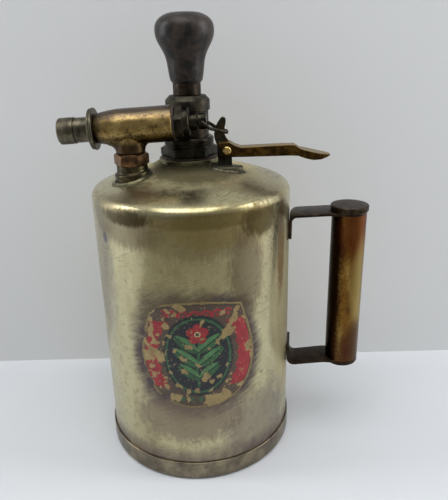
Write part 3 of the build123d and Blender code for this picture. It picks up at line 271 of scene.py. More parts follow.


# stains, bright rubs, and patches of painted shade and painted reflection on each finish; the painted ones are
# marked where they stand
# angles run round the tank from the grip, with the printed transfer near -80
stainsAndPaintedLightOf = {
    "spunTankBrass": [
        stainAndPaintedLight(wallPoint(-115, 152), (22, 22, 10), 0.6, "#5f4f42", 1.8, stretch=(1, 1, 5)),
        stainAndPaintedLight(wallPoint(-75, 150), (34, 34, 12), 0.4, "#6f5d40", 1.6, stretch=(1, 1, 7)),
        # golden bands just under the shoulder: painted reflection
        stainAndPaintedLight(wallPoint(-62, 155), (32, 32, 12), 0.5, "#857433", 3),
        stainAndPaintedLight(wallPoint(-72, 159), (44, 44, 4.5), 0.6, "#66552a", 3, fray=0.3),
        stainAndPaintedLight((0, 0, 184), (57, 57, 19), 0.65, "#c6bb92", dull=0.7, fray=0.25),
        # darker down the middle of the front: painted reflection of the dim room in front of the tank
        stainAndPaintedLight(wallPoint(-90, 110), (22, 22, 60), 0.3, "#8a8052", 9),
        stainAndPaintedLight(wallPoint(-50, 130), (12, 12, 28), 0.65, "#6a5b49", 1.4, stretch=(1, 1, 4)),
        stainAndPaintedLight(wallPoint(-12, 95), (24, 20, 60), 0.6, "#a89c78", 8, dull=0.5, fray=0.2),
        stainAndPaintedLight(wallPoint(-21, 136), (5, 5, 34), 0.75, "#6b4f2e", 3),
        stainAndPaintedLight(wallPoint(-134.6, 145), (2.6, 2.6, 3.4), 0.8, "#3d3748", 1),
        stainAndPaintedLight(wallPoint(-140, 125), (12, 12, 45), 0.3, "#8c8494", 5),
        stainAndPaintedLight(wallPoint(-42, 30), (26, 26, 26), 0.5, "#6f6268", 5),
        stainAndPaintedLight(wallPoint(-85, 42), (34, 34, 17), 0.7, "#7d6e60", 3),
        stainAndPaintedLight((0, 0, 11), (80, 80, 15), 0.8, "#655756", 9, fray=0.3),
        stainAndPaintedLight((-26, -42, 168), (22, 8, 8), 0.5, "#9a866c", 2.0),
        stainAndPaintedLight((38, -24, 170), (20, 13, 8), 0.35, "#a08c70", 2.0),
        stainAndPaintedLight((12, -28, 174), (11, 5, 5), 0.4, "#8c7a5c", 2.5),
        # darker on the dome in front of the pump, under the valve's head: painted shade
        stainAndPaintedLight((5, -16, 176), (27, 23, 10), 0.8, "#565038", 3.5, fray=0.35),
        stainAndPaintedLight((-1, 3, 177), (25, 22, 6), 0.75, "#4b4533", 3, fray=0.3),
        stainAndPaintedLight(wallPoint(-117, 159.5), (18, 18, 5), 0.88, "#3b321f", 2.2, stretch=(1, 1, 3), fray=0.5),
        stainAndPaintedLight(wallPoint(-40, 156), (14, 14, 10), 0.82, "#42371f", 2.2, stretch=(1, 1, 3), fray=0.5),
        stainAndPaintedLight(wallPoint(-134, 158), (14, 14, 12), 0.35, "#6b6450", 2.5),
        stainAndPaintedLight((-29, -19, 176), (15, 15, 6), 0.55, "#7d7156", 3, fray=0.4),
        stainAndPaintedLight((23, -8, 176), (15, 9, 5), 0.5, "#77735f", 3, fray=0.4),
    ],
    "castHeadBrass": [
        # darker on the neck under the valve's body: painted shade
        stainAndPaintedLight((-28.6, -19, 187), (16, 16, 7.5), 0.9, "#36291f", 2, fray=0.25),
        # darker where the body meets the nozzle's discs: painted shade
        stainAndPaintedLight((-44, -21, 199.5), (4.5, 12, 12), 0.6, "#3b352d", 2, fray=0.5),
    ],
    "drawnGripBrass": [
        stainAndPaintedLight((96, -3, 142), (12, 13, 24), 0.9, "#643318", fray=0.15),
        stainAndPaintedLight((98, -4, 108), (8, 9, 30), 0.6, "#9a8650", 7, fray=0.25),
        stainAndPaintedLight((96, -3, 62), (12, 13, 24), 0.8, "#48291f", 5, fray=0.15),
    ],
    "pressedBracketBrass": [
        stainAndPaintedLight((22, -7.5, 174), (16, 16, 3.8), 0.85, "#77735f", 3, fray=0.1),
    ],
    "pressedLeverBrass": [
        # darker on the lever round its pivot, beside the bracket: painted shade
        stainAndPaintedLight((17.5, -7.5, 197), (8, 12, 9), 0.8, "#35342b", 2, fray=0.3),
        stainAndPaintedLight((17.0, -7.5, 184), (8, 12, 7), 0.85, "#1d1c15", 2, fray=0.3),
    ],
    "blackenedStripBrass": [
        stainAndPaintedLight((75, 0, 46), (40, 30, 12), 0.6, "#2b2119", 3),
    ],
}
finishes = {name: brass(name, look, stainsAndPaintedLightOf.get(name, ())) for name, look in brassLooks.items()}


def simpleFinish(name, tone, shade, sizeMm, rough, metallic=0.0, specular=0.5, bumpMm=0.02):
    # two clouded tones over a faint relief
    material, tree, place = newMaterial(name)
    cloud = grain(tree, place, sizeMm, 6, 0.65)
    color = addNode(tree, "ShaderNodeValToRGB", [cloud], stops=[(0.38, shade), (0.62, tone)])
    dull = addNode(tree, "ShaderNodeMath", [cloud, 0.2, rough], operation="MULTIPLY_ADD")
    height = addNode(tree, "ShaderNodeMath", [cloud, bumpMm * mm], operation="MULTIPLY")
    bump = addNode(tree, "ShaderNodeBump", {"Strength": 1.0, "Distance": 1.0, "Height": height})
    shader = addNode(tree, "ShaderNodeBsdfPrincipled",
                     {"Base Color": color, "Metallic": metallic, "Specular IOR Level": specular,
                      "Roughness": dull, "Normal": bump})
    addNode(tree, "ShaderNodeOutputMaterial", [shader])
    return material


# bright tone, dark tone, cloud size in millimetres, roughness, and what else differs
simpleLooks = {
    # soft solder gone dull: grey, lumpy, matt
    "oldSolder": ("#75715f", "#4f4a3b", 2.5, 0.38, {"metallic": 1.0, "bumpMm": 0.06}),
    # drawn iron wire with a brown skin of rust and oil
    "rustedIronWire": ("#4a463c", "#2b2822", 2, 0.4, {"metallic": 1.0}),
    # brass pin whose domed head is kept bright by the thumb
    "rubbedPinBrass": ("#d8bd7a", "#9c8148", 2, 0.22, {"metallic": 1.0}),
    # black stove enamel over turned beech, worn thin to brown by the palm: a soft gloss
    "enamelledBeech": ("#372d26", "#121212", 6, 0.3, {"specular": 0.3, "bumpMm": 0.04}),
    # drawn spring steel: grey, smooth along the wire
    "drawnSpringSteel": ("#8f8a80", "#5e5850", 3, 0.25, {"metallic": 1.0}),
    # oiled leather: near black at its cut edge, matt
    "oiledLeather": ("#3d2a1d", "#22170f", 2, 0.6, {}),
    # vulcanised rubber: black and matt
    "vulcanisedRubber": ("#1b1b1b", "#121212", 3, 0.55, {}),
}
for name, (tone, shade, sizeMm, rough, more) in simpleLooks.items():
    finishes[name] = simpleFinish(name, tone, shade, sizeMm, rough, **more)

finishOf = {
    "spunTankBrass": ["tank_shell"],
    "tinnedCrownBrass": ["seat_ring"],
    "pressedFootBrass": ["base_pan"],
    "castHeadBrass": ["valve_body", "dip_tube", "strainer", "foot_plug", "foot_cage", "piston_plate",
                      "piston_spreader", "piston_nut", "swirl_disc"],
    "turnedNutBrass": ["riser_nut"],
    "castFlangeBrass": ["riser_flange"],
    "turnedNozzleBrass": ["nozzle_tube", "nozzle_cap", "rear_disc", "front_disc"],
    "turnedGlandBrass": ["gland_nut", "packing_nut", "valve_stem"],
    "turnedCapBrass": ["pump_cap"],
    "castBossBrass": ["pump_boss"],
    "drawnBarrelBrass": ["pump_barrel", "knob_ferrule"],
    "blackenedStripBrass": ["rod_guide", "grip_cap", "grip_foot", "upper_strap", "lower_strap"],
    "drawnGripBrass": ["grip_tube"],
    "pressedLeverBrass": ["lever"],
    "pressedBracketBrass": ["lever_bracket"],
    "rustedIronWire": ["stirrup"],
    "rubbedPinBrass": ["pivot_pin"],
    "drawnSpringSteel": ["return_spring", "foot_spring", "pump_rod", "grip_rod"],
    "enamelledBeech": ["knob"],
    "oiledLeather": ["pump_washer", "gland_washer", "gland_packing", "piston_cup"],
    "vulcanisedRubber": ["stem_washer", "foot_disc"],
}


def newObject(name, data):
    item = bpy.data.objects.new(name, data)
    bpy.context.scene.collection.objects.link(item)
    return item


def setFinish(mesh, finish):
    mesh.materials.clear()
    mesh.materials.append(finishes[finish])


for finish, names in finishOf.items():
    for name in names:
        setFinish(cadNodes[name].data, finish)
print("finishes set")

tankForm = {
    "around": 256, "wallStep": 1.5, "rollSteps": 8, "domeSteps": 30, "innerSteps": 12,  # mesh
    "wall": 0.9, "innerGap": 0.3, "domeRadius": 140.75, "crown": 176.96, "shoulder": 6.1,
    "neckRim": 1.4, "neckSlope": 0.62, "neckSoft": 1.3, "neckDrop": 0.05, "neckBend": 0.5, "hole": 15.6,
    "slideFrom": 49.0, "slideTo": 25.0,  # between these reaches the rings move over to the pump's place
    "dent": 0.24, "dentMm": 27.0, "ripple": 0.035, "rippleMm": 6.0,  # depth and size of the dents
    "rollDent": 0.7, "domeDent": 0.5,  # how much of that the shoulder and the dome have
    "panTop": 12.5, "panFade": 9, "strapHalf": 13.0, "strapFade": 6,  # where the dents fade out
}
domeCentre = tankForm["crown"] - tankForm["domeRadius"]
rollR = tankR - tankForm["shoulder"]
rollZ = domeCentre + math.sqrt((tankForm["domeRadius"] - tankForm["shoulder"]) ** 2 - rollR ** 2)
rollTurn = math.acos(rollR / (tankForm["domeRadius"] - tankForm["shoulder"]))
neckR = ringHigh.x - pumpAt.x + tankForm["neckRim"]


def easeStep(x, low, high):
    # 0 below low, 1 above high, eased between
    t = min(max((x - low) / (high - low), 0), 1)
    return t * t * (3 - 2 * t)


def skinHeight(x, y, off=0.0):
    # height of the domed top, with the neck swept up round the pump
    dome = domeCentre + math.sqrt((tankForm["domeRadius"] + off) ** 2 - x * x - y * y)
    out = math.hypot(x - pumpAt.x, y - pumpAt.y) - neckR
    fall = tankForm["neckSlope"] * (out + math.sqrt(out * out + tankForm["neckBend"])) / 2
    neck = tankHigh.z - tankForm["neckDrop"] + off - fall
    soft = tankForm["neckSoft"]
    lap = max(soft - abs(dome - neck), 0) / soft
    return max(dome, neck) + lap * lap * soft / 4


def dentDepth(x, y, z):
    # how far the shell is pressed in, in millimetres; none near the pan and under the straps
    spot = Vector((x, y, z))
    broad = 0.5 + 0.5 * noise.noise(spot / tankForm["dentMm"] + Vector((2.3, 0, 5.1)))
    fine = 0.5 + 0.5 * noise.noise(spot / tankForm["rippleMm"])
    keep = easeStep(z, tankForm["panTop"], tankForm["panTop"] + tankForm["panFade"])
    clear = tankForm["strapHalf"] + tankForm["strapFade"]
    if x > 0 and abs(y) < clear:
        keep *= easeStep(abs(y), tankForm["strapHalf"] - 2, clear)
    return (tankForm["dent"] * broad + tankForm["ripple"] * fine) * keep


def noiseAt(x, y, z):
    # smooth noise between -1 and 1
    return noise.noise(Vector((x, y, z)))


labelForm = {
    "angle": -79.0, "height": 83.0,  # the middle of the transfer on the tank
    "halfWidth": 32.6, "low": -32.8, "top": 33.2, "power": 2.3, "narrowing": 7.8, "bow": 3.6,
    "step": 0.36, "acrossTo": 34.2, "upFrom": -34.0, "upTo": 34.4, "lift": 0.1, "thick": 0.08,
    "border": 1.5, "borderLine": 2.1,
    "flakes": ((5.2, 0.07, 0), (2.4, 0.06, 20), (9.5, 0.03, 40)),  # size, share and layer of each kind
    "wobble": 1.1, "wobbleMm": 2.2,  # raggedness of the flakes
}
hazeForm = {"limit": 60, "reach": 10, "cloud": 3.5, "left": 4, "top": 2, "foot": 4, "stroke": 1.5,
            "strength": 0.9, "strokeFade": 0.3}


def labelPlace(angle, z):
    # u and v: millimetres along and up the wall from the middle of the transfer
    across = (angle - labelForm["angle"] + 180) % 360 - 180
    return math.radians(across) * tankR, z - labelForm["height"]


def shieldEdge(u, v):
    # millimetres in from the border of the shield, negative outside it
    if v < 0:
        power = labelForm["power"]
        share = abs(u / labelForm["halfWidth"]) ** power + abs(v / labelForm["low"]) ** power
        share = share ** (1 / power)
        reach = math.hypot(u, v)
        return labelForm["halfWidth"] if share < 0.02 else reach / share - reach
    side = labelForm["halfWidth"] - labelForm["narrowing"] * (v / 30) ** 1.4
    return min(side - abs(u), labelForm["top"] - labelForm["bow"] * (u / 25) ** 2 - v)


def hazeAt(x, y, z):
    # tarnish round the transfer, rubbed thin in slanting strokes
    angle = math.degrees(math.atan2(y, x))
    u, v = labelPlace(angle, z)
    if abs(u) > hazeForm["limit"] or abs(v) > hazeForm["limit"]:
        return 0.0
    out = -shieldEdge(u, v)
    stroke = noiseAt(u * 0.08 + v * 0.10, v * 0.75 - u * 0.30, 1.7)
    reach = hazeForm["reach"] + hazeForm["cloud"] * noiseAt(u / 9, v / 9, 8.2)
    reach += hazeForm["left"] * easeStep(-u, 0, 20)
    reach += hazeForm["top"] * easeStep(v, 10, 28)
    reach += hazeForm["foot"] * easeStep(-v, 15, 30)
    reach += hazeForm["stroke"] * stroke
    strength = hazeForm["strength"] + hazeForm["strokeFade"] * stroke
    return max(min(strength, 1), 0) * (1 - easeStep(out, -2.0, max(reach, 3)))


def smoothAll(mesh):
    mesh.polygons.foreach_set("use_smooth", [True] * len(mesh.polygons))


def meshPiece(name, points, faces, finish, body):
    # new piece from points in millimetres
    mesh = bpy.data.meshes.new(name)
    mesh.from_pydata([Vector(p) * mm for p in points], [], faces)
    smoothAll(mesh)
    setFinish(mesh, finish)
    piece = newObject(name, mesh)
    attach(piece, body)
    return piece


def bandFaces(rows, around):
    # quads between rings of points
    faces = []
    for i in range(rows - 1):
        for j in range(around):
            k = (j + 1) % around
            faces.append((i * around + j, i * around + k, (i + 1) * around + k, (i + 1) * around + j))
    return faces


def closedFaces(rows, around):
    # the same, with the last ring joined back to the first
    last = (rows - 1) * around
    seam = [(last + j, last + (j + 1) % around, (j + 1) % around, j) for j in range(around)]
    return bandFaces(rows, around) + seam


def makeTankSkin():
    # spun shell with the small dents of long use: wall, rolled shoulder, dome and raised neck
    around = tankForm["around"]
    points = []

    def ring(place):
        for j in range(around):
            points.append(place(2 * math.pi * j / around))

    def wallRing(radius, z, dented):
        def place(turn):
            x, y = radius * math.cos(turn), radius * math.sin(turn)
            r = radius - (dentDepth(x, y, z) if dented else 0)
            return (r * math.cos(turn), r * math.sin(turn), z)
        return place

    def rollRing(off, rise, dented):
        def place(turn):
            r = tankForm["shoulder"] + off
            x, y = rollR * math.cos(turn), rollR * math.sin(turn)
            if dented:
                r -= dentDepth(x, y, rollZ) * tankForm["rollDent"]
            out = rollR + r * math.cos(rise)
            return (out * math.cos(turn), out * math.sin(turn), rollZ + r * math.sin(rise))
        return place

    def domeRing(reach, off, dented):
        slide = easeStep(tankForm["slideFrom"] - reach, 0, tankForm["slideFrom"] - tankForm["slideTo"])

        def place(turn):
            x = pumpAt.x * slide + reach * math.cos(turn)
            y = pumpAt.y * slide + reach * math.sin(turn)
            sink = dentDepth(x, y, rollZ) * tankForm["domeDent"] * (1 - slide) if dented else 0
            return (x, y, skinHeight(x, y, off) - sink)
        return place

    steps = tankForm["rollSteps"]
    rollSteps = [rollTurn * k / steps for k in range(1, steps + 1)]
    domeStart = rollR + tankForm["shoulder"] * math.cos(rollTurn)
    steps = tankForm["domeSteps"]
    domeSteps = [domeStart + (tankForm["hole"] - domeStart) * k / steps for k in range(1, steps + 1)]
    steps = int((rollZ - tankLow.z) / tankForm["wallStep"])
    for k in range(steps + 1):
        ring(wallRing(tankR, tankLow.z + (rollZ - tankLow.z) * k / steps, True))
    for rise in rollSteps:
        ring(rollRing(0, rise, True))
    for reach in domeSteps:
        ring(domeRing(reach, 0, True))
    for reach in reversed(domeSteps[::3]):
        ring(domeRing(reach, -tankForm["wall"], False))
    for rise in reversed(rollSteps[::2]):
        ring(rollRing(-tankForm["wall"], rise, False))
    steps = tankForm["innerSteps"]
    innerR = tankR - tankForm["wall"] - tankForm["innerGap"]
    for k in range(steps, -1, -1):
        ring(wallRing(innerR, tankLow.z + (rollZ - tankLow.z) * k / steps, False))
    faces = closedFaces(len(points) // around, around)
    skin = meshPiece("tankSkin", points, faces, "spunTankBrass", "tank")
    haze = skin.data.attributes.new("haze", "FLOAT", "POINT")
    haze.data.foreach_set("value", [hazeAt(*p) for p in points])
    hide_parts("tank_shell")


makeTankSkin()
print("tank skin made")

# the transfer's paints: red and green leaf work on a dark oval, on a brown field with a tan border
labelTones = {
    "field": "#4b3c30", "border": "#857245", "borderLine": "#33281e", "red": "#8f1f26", "oval": "#141b22",
    "leaf": "#2a5734", "leafLight": "#447545", "bare": "#a8966a", "bareDark": "#8a7550", "cream": "#bfae7a",
}
sprigForm = {
    "ovalWide": 19.5, "ovalTall": 25.0, "ovalMid": 0.5, "ringFrom": 0.88, "ringTo": 0.93,
    "leafPairs": [(-13.5, 7.0), (-5.5, 8.6), (3.0, 8.0)], "leafWide": 3.0, "leafTurn": 38, "vein": 0.3,
    "stem": 0.75, "stemSway": 0.8, "stemFrom": -19, "stemTo": 12,
    "flowerAt": 14.0, "petals": 5, "petalReach": 3.6, "petalR": 2.6, "eye": 1.6,
}
fieldForm = {
    "scallop": 1.4, "scallopStep": 7, "redGap": 2.0, "redTall": 27, "redFrom": -20, "redTo": 21,
    "topFrom": 24, "topHalf": 19, "shellStep": 6.0, "shellAt": 25.0, "shellBand": (1.9, 3.2), "shellEye": 0.9,
    "footFrom": -24, "footHalf": 16, "beadStep": 5.0, "beadAt": -26.8, "beadR": 1.3,
}


def paintAt(u, v):
    # colour name of the printed design at a point of the transfer
    sprig, field = sprigForm, fieldForm
    edge = shieldEdge(u, v)
    if edge < labelForm["border"]:
        return "border"
    if edge < labelForm["borderLine"]:
        return "borderLine"
    wide, middle = sprig["ovalWide"], sprig["ovalMid"]
    oval = math.hypot(u / wide, (v - middle) / sprig["ovalTall"])
    if oval < 1:
        if sprig["ringFrom"] < oval < sprig["ringTo"]:
            return "leaf"
        for k in range(sprig["petals"]):
            turn = math.radians(90 + 360 / sprig["petals"] * k)
            du = u - sprig["petalReach"] * math.cos(turn)
            dv = v - sprig["flowerAt"] - sprig["petalReach"] * math.sin(turn)
            if math.hypot(du, dv) < sprig["petalR"]:
                return "cream" if math.hypot(u, v - sprig["flowerAt"]) < sprig["eye"] else "red"
        for base, length in sprig["leafPairs"]:
            for side in (-1, 1):
                turn = math.radians(sprig["leafTurn"])
                along = (u * side) * math.cos(turn) + (v - base) * math.sin(turn)
                aside = -(u * side) * math.sin(turn) + (v - base) * math.cos(turn)
                along -= length
                if math.hypot(along / length, aside / sprig["leafWide"]) < 1:
                    if abs(aside) < sprig["vein"]:
                        return "oval"
                    return "leaf" if aside < 0 else "leafLight"
        stemAt = sprig["stemSway"] * math.sin(v / 6)
        if abs(u - stemAt) < sprig["stem"] and sprig["stemFrom"] < v < sprig["stemTo"]:
            return "leaf"
        return "oval"
    scallop = field["scallop"] * abs(math.sin(v * math.pi / field["scallopStep"]))
    inner = wide * math.sqrt(max(1 - ((v - middle) / field["redTall"]) ** 2, 0)) + field["redGap"] + scallop
    if abs(u) > inner and field["redFrom"] < v < field["redTo"]:
        return "red"
    if v > field["topFrom"] and abs(u) < field["topHalf"]:
        # a row of red arcs, each round a red dot
        shell = math.hypot((u + 100) % field["shellStep"] - field["shellStep"] / 2, v - field["shellAt"])
        arc = field["shellBand"][0] < shell < field["shellBand"][1]
        return "red" if arc or shell < field["shellEye"] else "field"
    if v < field["footFrom"] and abs(u) < field["footHalf"]:
        # a row of green beads
        bead = math.hypot((u + 102) % field["beadStep"] - field["beadStep"] / 2, v - field["beadAt"])
        return "leaf" if bead < field["beadR"] else "field"
    return "field"


def wornAt(u, v):
    # 1 where the paint has flaked off to the varnished metal
    across, up = u / labelForm["wobbleMm"], v / labelForm["wobbleMm"]
    wobble = Vector((noiseAt(across, up, 3), noiseAt(across, up, 7), 0)) * labelForm["wobble"]
    spot = Vector((u, v, 0)) + wobble
    # flakes come more often toward the left, the foot and the right
    more = 0.3 * easeStep(-u, 14, 28) + 0.16 * easeStep(-v, 16, 28) + 0.05 * easeStep(u, 22, 30)
    for size, share, level in labelForm["flakes"]:
        cells = noise.voronoi(Vector((spot.x / size, spot.y / size, level)))[1]
        chance = 0.5 + 0.5 * noise.cell(cells[0] * 7.3 + Vector((0.5, 0.5, 0.5)))
        if chance < share * (1 + more * 9):
            return 1.0
    return 0.0


def makeLabel():
    # thin printed transfer just proud of the wall, its paint held in a colour attribute
    step = labelForm["step"]
    across = int(labelForm["acrossTo"] / step)
    low, high = int(labelForm["upFrom"] / step), int(labelForm["upTo"] / step)
    points, tones, bare, index = [], [], [], {}
    shades = {name: Vector(linearColor(tone)[:3]) for name, tone in labelTones.items()}
    for j in range(low, high + 1):
        for i in range(-across, across + 1):
            u, v = i * step, j * step
            # a ragged edge, with more of it missing on the left
            jag = 0.9 * noiseAt(u / 2.5, v / 2.5, 11) + 0.5 * noiseAt(u / 0.9, v / 0.9, 5)
            missing = 3.4 * easeStep(noiseAt(u / 7, v / 7, 31), 0.12, 0.5) * easeStep(-u, 4, 24)
            if shieldEdge(u, v) + jag * 0.6 - missing < 0:
                continue
            angle = math.radians(labelForm["angle"]) + u / tankR
            z = labelForm["height"] + v
            x, y = tankR * math.cos(angle), tankR * math.sin(angle)
            r = tankR - dentDepth(x, y, z) + labelForm["lift"]
            index[(i, j)] = len(points)
            points.append((r * math.cos(angle), r * math.sin(angle), z))
            tone = shades[paintAt(u, v)].copy()
            dirt = noiseAt(u / 3.1, v / 3.1, 2.4)
            speck = noiseAt(u / 0.8, v / 0.8, 4.4)
            tone *= 1 + 0.28 * dirt + 0.14 * speck
            worn = wornAt(u, v)
            if worn > 0.5:
                blend = 0.5 + 0.5 * noiseAt(u / 4, v / 4, 9)
                tone = shades["bare"].lerp(shades["bareDark"], blend) * (1 + 0.2 * speck)
            elif speck > 0.58:
                tone = tone.lerp(shades["bare"], 0.6)
            edge = shieldEdge(u, v)
            tone = tone.lerp(shades["borderLine"], 0.5 * (1 - easeStep(edge, 0, 2.5)) * (0.6 + dirt))
            tones += [max(c, 0) for c in tone] + [1.0]
            bare.append(worn)
    faces = [(a, index[(i + 1, j)], index[(i + 1, j + 1)], index[(i, j + 1)]) for (i, j), a in index.items()
             if all(key in index for key in ((i + 1, j), (i + 1, j + 1), (i, j + 1)))]
    label = meshPiece("transferPrint", points, faces, "printedVarnish", "tank")
    label.data.color_attributes.new("paint", "FLOAT_COLOR", "POINT").data.foreach_set("color", tones)
    label.data.attributes.new("bare", "FLOAT", "POINT").data.foreach_set("value", bare)
    thick = label.modifiers.new("thickness", "SOLIDIFY")
    thick.thickness = labelForm["thick"] * mm
    thick.offset = -1
    settle(label)


def settle(piece):
    # applies the modifiers: the evaluated shape becomes the piece's own mesh
    graph = bpy.context.evaluated_depsgraph_get()
    mesh = bpy.data.meshes.new_from_object(piece.evaluated_get(graph))
    piece.modifiers.clear()
    piece.data = mesh


def printedVarnish():
    # oil colours under a thin aged varnish: colours from the mesh, a gloss broken by fine crazing
    material, tree, place = newMaterial("printedVarnish")
    paint = addNode(tree, "ShaderNodeAttribute", out="Color", attribute_name="paint")
    bare = addNode(tree, "ShaderNodeAttribute", out="Fac", attribute_name="bare")
    fine = grain(tree, place, 0.7, 5, 0.7)
    tone = layer(tree, paint, "#4b3a2a", fine, 0.35, between=(0.5, 0.72))[0]
    metal = addNode(tree, "ShaderNodeMath", [bare, 0.65], operation="MULTIPLY")
    dull = addNode(tree, "ShaderNodeMath", [fine, 0.3, 0.25], operation="MULTIPLY_ADD")
    height = addNode(tree, "ShaderNodeMath", [fine, 0.03 * mm], operation="MULTIPLY")
    bump = addNode(tree, "ShaderNodeBump", {"Strength": 0.6, "Distance": 1.0, "Height": height})
    shader = addNode(tree, "ShaderNodeBsdfPrincipled",
                     {"Base Color": tone, "Metallic": metal, "Roughness": dull, "Normal": bump})
    addNode(tree, "ShaderNodeOutputMaterial", [shader])
    return material


finishes["printedVarnish"] = printedVarnish()
makeLabel()
print("transfer made")

# turned and cast parts keep their CAD shape and get worn, rounded edges; sizes in millimetres
softEdges = {"pump_boss": 0.35, "pump_cap": 0.3, "riser_nut": 0.4, "gland_nut": 0.35, "lever_bracket": 0.3,
             "upper_strap": 0.25, "lower_strap": 0.25, "grip_cap": 0.2}
edgeCut = {"segments": 2, "bevelAbove": 32, "sharpAbove": 38}  # angles in degrees


def pieceFromNode(name, prefix):
    # a copy of the node's mesh, its loose triangles merged, which stands for the node
    title = prefix + "".join(word.capitalize() for word in name.split("_"))
    body, slotName = bodyOf[name], slotOf[name]
    mesh = cadNodes[name].data.copy()
    mesh.name = title
    work = bmesh.new()
    work.from_mesh(mesh)
    bmesh.ops.remove_doubles(work, verts=work.verts, dist=2e-6)
    bmesh.ops.dissolve_limit(work, angle_limit=math.radians(0.6), verts=work.verts, edges=work.edges)
    work.to_mesh(mesh)
    work.free()
    piece = newObject(title, mesh)
    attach(piece, body)
    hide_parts(name)
    return piece


def wornEdges(name, bevelMm):
    # rounds every sharp edge a little, as wear and polishing do
    piece = pieceFromNode(name, "worn")
    bevel = piece.modifiers.new("wornEdges", "BEVEL")
    bevel.width = bevelMm * mm
    bevel.segments = edgeCut["segments"]
    bevel.limit_method = "ANGLE"
    bevel.angle_limit = math.radians(edgeCut["bevelAbove"])
    settle(piece)
    smoothAll(piece.data)
    piece.data.set_sharp_from_angle(angle=math.radians(edgeCut["sharpAbove"]))


for name, bevelMm in softEdges.items():
    wornEdges(name, bevelMm)
print("worn edges made")

# castings and pressings whose corners run into each other softly: remeshed fine, then smoothed
castForms = {
    "valve_body": {"voxel": 0.38, "passes": 14},
    "lever": {"voxel": 0.26, "passes": 4},
    "riser_flange": {"voxel": 0.34, "passes": 5},
}


def castPiece(name, form):
    # voxel remesh of a node's shape, then smoothed: an even skin with no sharp inner corners
    piece = pieceFromNode(name, "cast")
    finish = piece.data.materials[0].name
    remesh = piece.modifiers.new("fineMesh", "REMESH")
    remesh.mode = "VOXEL"
    remesh.voxel_size = form["voxel"] * mm
    smooth = piece.modifiers.new("softCorners", "SMOOTH")
    smooth.factor = 0.5
    smooth.iterations = form["passes"]
    settle(piece)
    smoothAll(piece.data)
    setFinish(piece.data, finish)


for name, form in castForms.items():
    castPiece(name, form)
print("castings made")


def nodeShape(name, path, closed, finish, body, build, inputs):
    # a Geometry Nodes tree run over a path of points in millimetres and turned into a plain mesh
    mesh = bpy.data.meshes.new(name)
    edges = [(i, (i + 1) % len(path)) for i in range(len(path) if closed else len(path) - 1)]
    mesh.from_pydata([Vector(p) * mm for p in path], edges, [])
    piece = newObject(name, mesh)
    tree = bpy.data.node_groups.new(name + "Tree", "GeometryNodeTree")

    def socket(title, kind, way="INPUT"):
        return tree.interface.new_socket(name=title, in_out=way, socket_type="NodeSocket" + kind).identifier

    socket("Path", "Geometry")
    sockets = {title: socket(title, "Int" if isinstance(value, int) else "Float")
               for title, value in inputs.items()}
    finishSocket = socket("Finish", "Material")
    socket("Shape", "Geometry", "OUTPUT")
    given = addNode(tree, "NodeGroupInput").node.outputs
    solid = addNode(tree, "GeometryNodeRealizeInstances", [build(tree, given)])
    coated = addNode(tree, "GeometryNodeSetMaterial", {"Geometry": solid, "Material": given["Finish"]})
    addNode(tree, "NodeGroupOutput", [coated])
    modifier = piece.modifiers.new("shape", "NODES")
    modifier.node_group = tree
    for title, value in inputs.items():
        modifier[sockets[title]] = value
    modifier[finishSocket] = finishes[finish]
    settle(piece)
    smoothAll(piece.data)
    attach(piece, body)


def beadTree(tree, given):
    # a lumpy bead of solder run along the path
    line = addNode(tree, "GeometryNodeMeshToCurve", [given["Path"]])
    fine = addNode(tree, "GeometryNodeResampleCurve", {"Curve": line, "Length": given["Step"]}, mode="LENGTH")
    profile = addNode(tree, "GeometryNodeCurvePrimitiveCircle",
                      {"Resolution": 10, "Radius": given["Bead Radius"]})
    tube = addNode(tree, "GeometryNodeCurveToMesh",
                   {"Curve": fine, "Profile Curve": profile, "Fill Caps": True})
    spot = addNode(tree, "GeometryNodeInputPosition")
    cloud = addNode(tree, "ShaderNodeTexNoise", {"Vector": spot, "Scale": given["Lump Scale"], "Detail": 2.0})
    swell = addNode(tree, "ShaderNodeMath", [cloud, 2.0, -1.0], operation="MULTIPLY_ADD")
    depth = addNode(tree, "ShaderNodeMath", [swell, given["Lump Depth"]], operation="MULTIPLY")
    away = addNode(tree, "GeometryNodeInputNormal")
    offset = addNode(tree, "ShaderNodeVectorMath", {0: away, "Scale": depth}, operation="SCALE")
    return addNode(tree, "GeometryNodeSetPosition", {"Geometry": tube, "Offset": offset})


tabForm = {"inset": 4, "steps": 8, "proud": 0.1}
solderForm = {"Bead Radius": 0.5 * mm, "Lump Scale": 260.0, "Lump Depth": 0.28 * mm, "Step": 0.7 * mm}


def tabPath(low, high, top):
    # round the free edges of a strap's tab, on the tank's wall; top is the side of the strap's run
    half = -low.y
    end = low.z if top > (low.z + high.z) / 2 else high.z
    corners = [(-half, top), (-half, end), (half, end), (half, top)]
    steps = tabForm["steps"]
    path = []
    for (y0, z0), (y1, z1) in zip(corners, corners[1:]):
        for k in range(steps):
            y = y0 + (y1 - y0) * k / steps
            path.append((math.sqrt(tankR ** 2 - y * y) + tabForm["proud"], y, z0 + (z1 - z0) * k / steps))
    return path


tabPaths = {"upperTabSolder": tabPath(upperLow, upperHigh, upperHigh.z - tabForm["inset"]),
            "lowerTabSolder": tabPath(lowerLow, lowerHigh, lowerLow.z + tabForm["inset"])}
for name, path in tabPaths.items():
    nodeShape(name, path, False, "oldSolder", "tank", beadTree, solderForm)

riserR = (riserHigh.x - riserLow.x) / 2
apronForm = {
    "riser": {"at": headAt, "reach": riserR, "across": riserR, "turn": 0.0, "spread": 2.2, "rise": 1.5,
              "finish": "tinnedCrownBrass"},
    "bracket": {"at": (footLow + footHigh).to_2d() / 2, "reach": 9.35, "across": 4.6,
                "turn": math.radians(7), "spread": 2.2, "rise": 1.25, "finish": "oldSolder"},
}


apronCut = {"around": 96, "steps": 6, "lump": 0.16, "lumpTurns": 2.5, "sink": 0.05, "depth": 0.5}


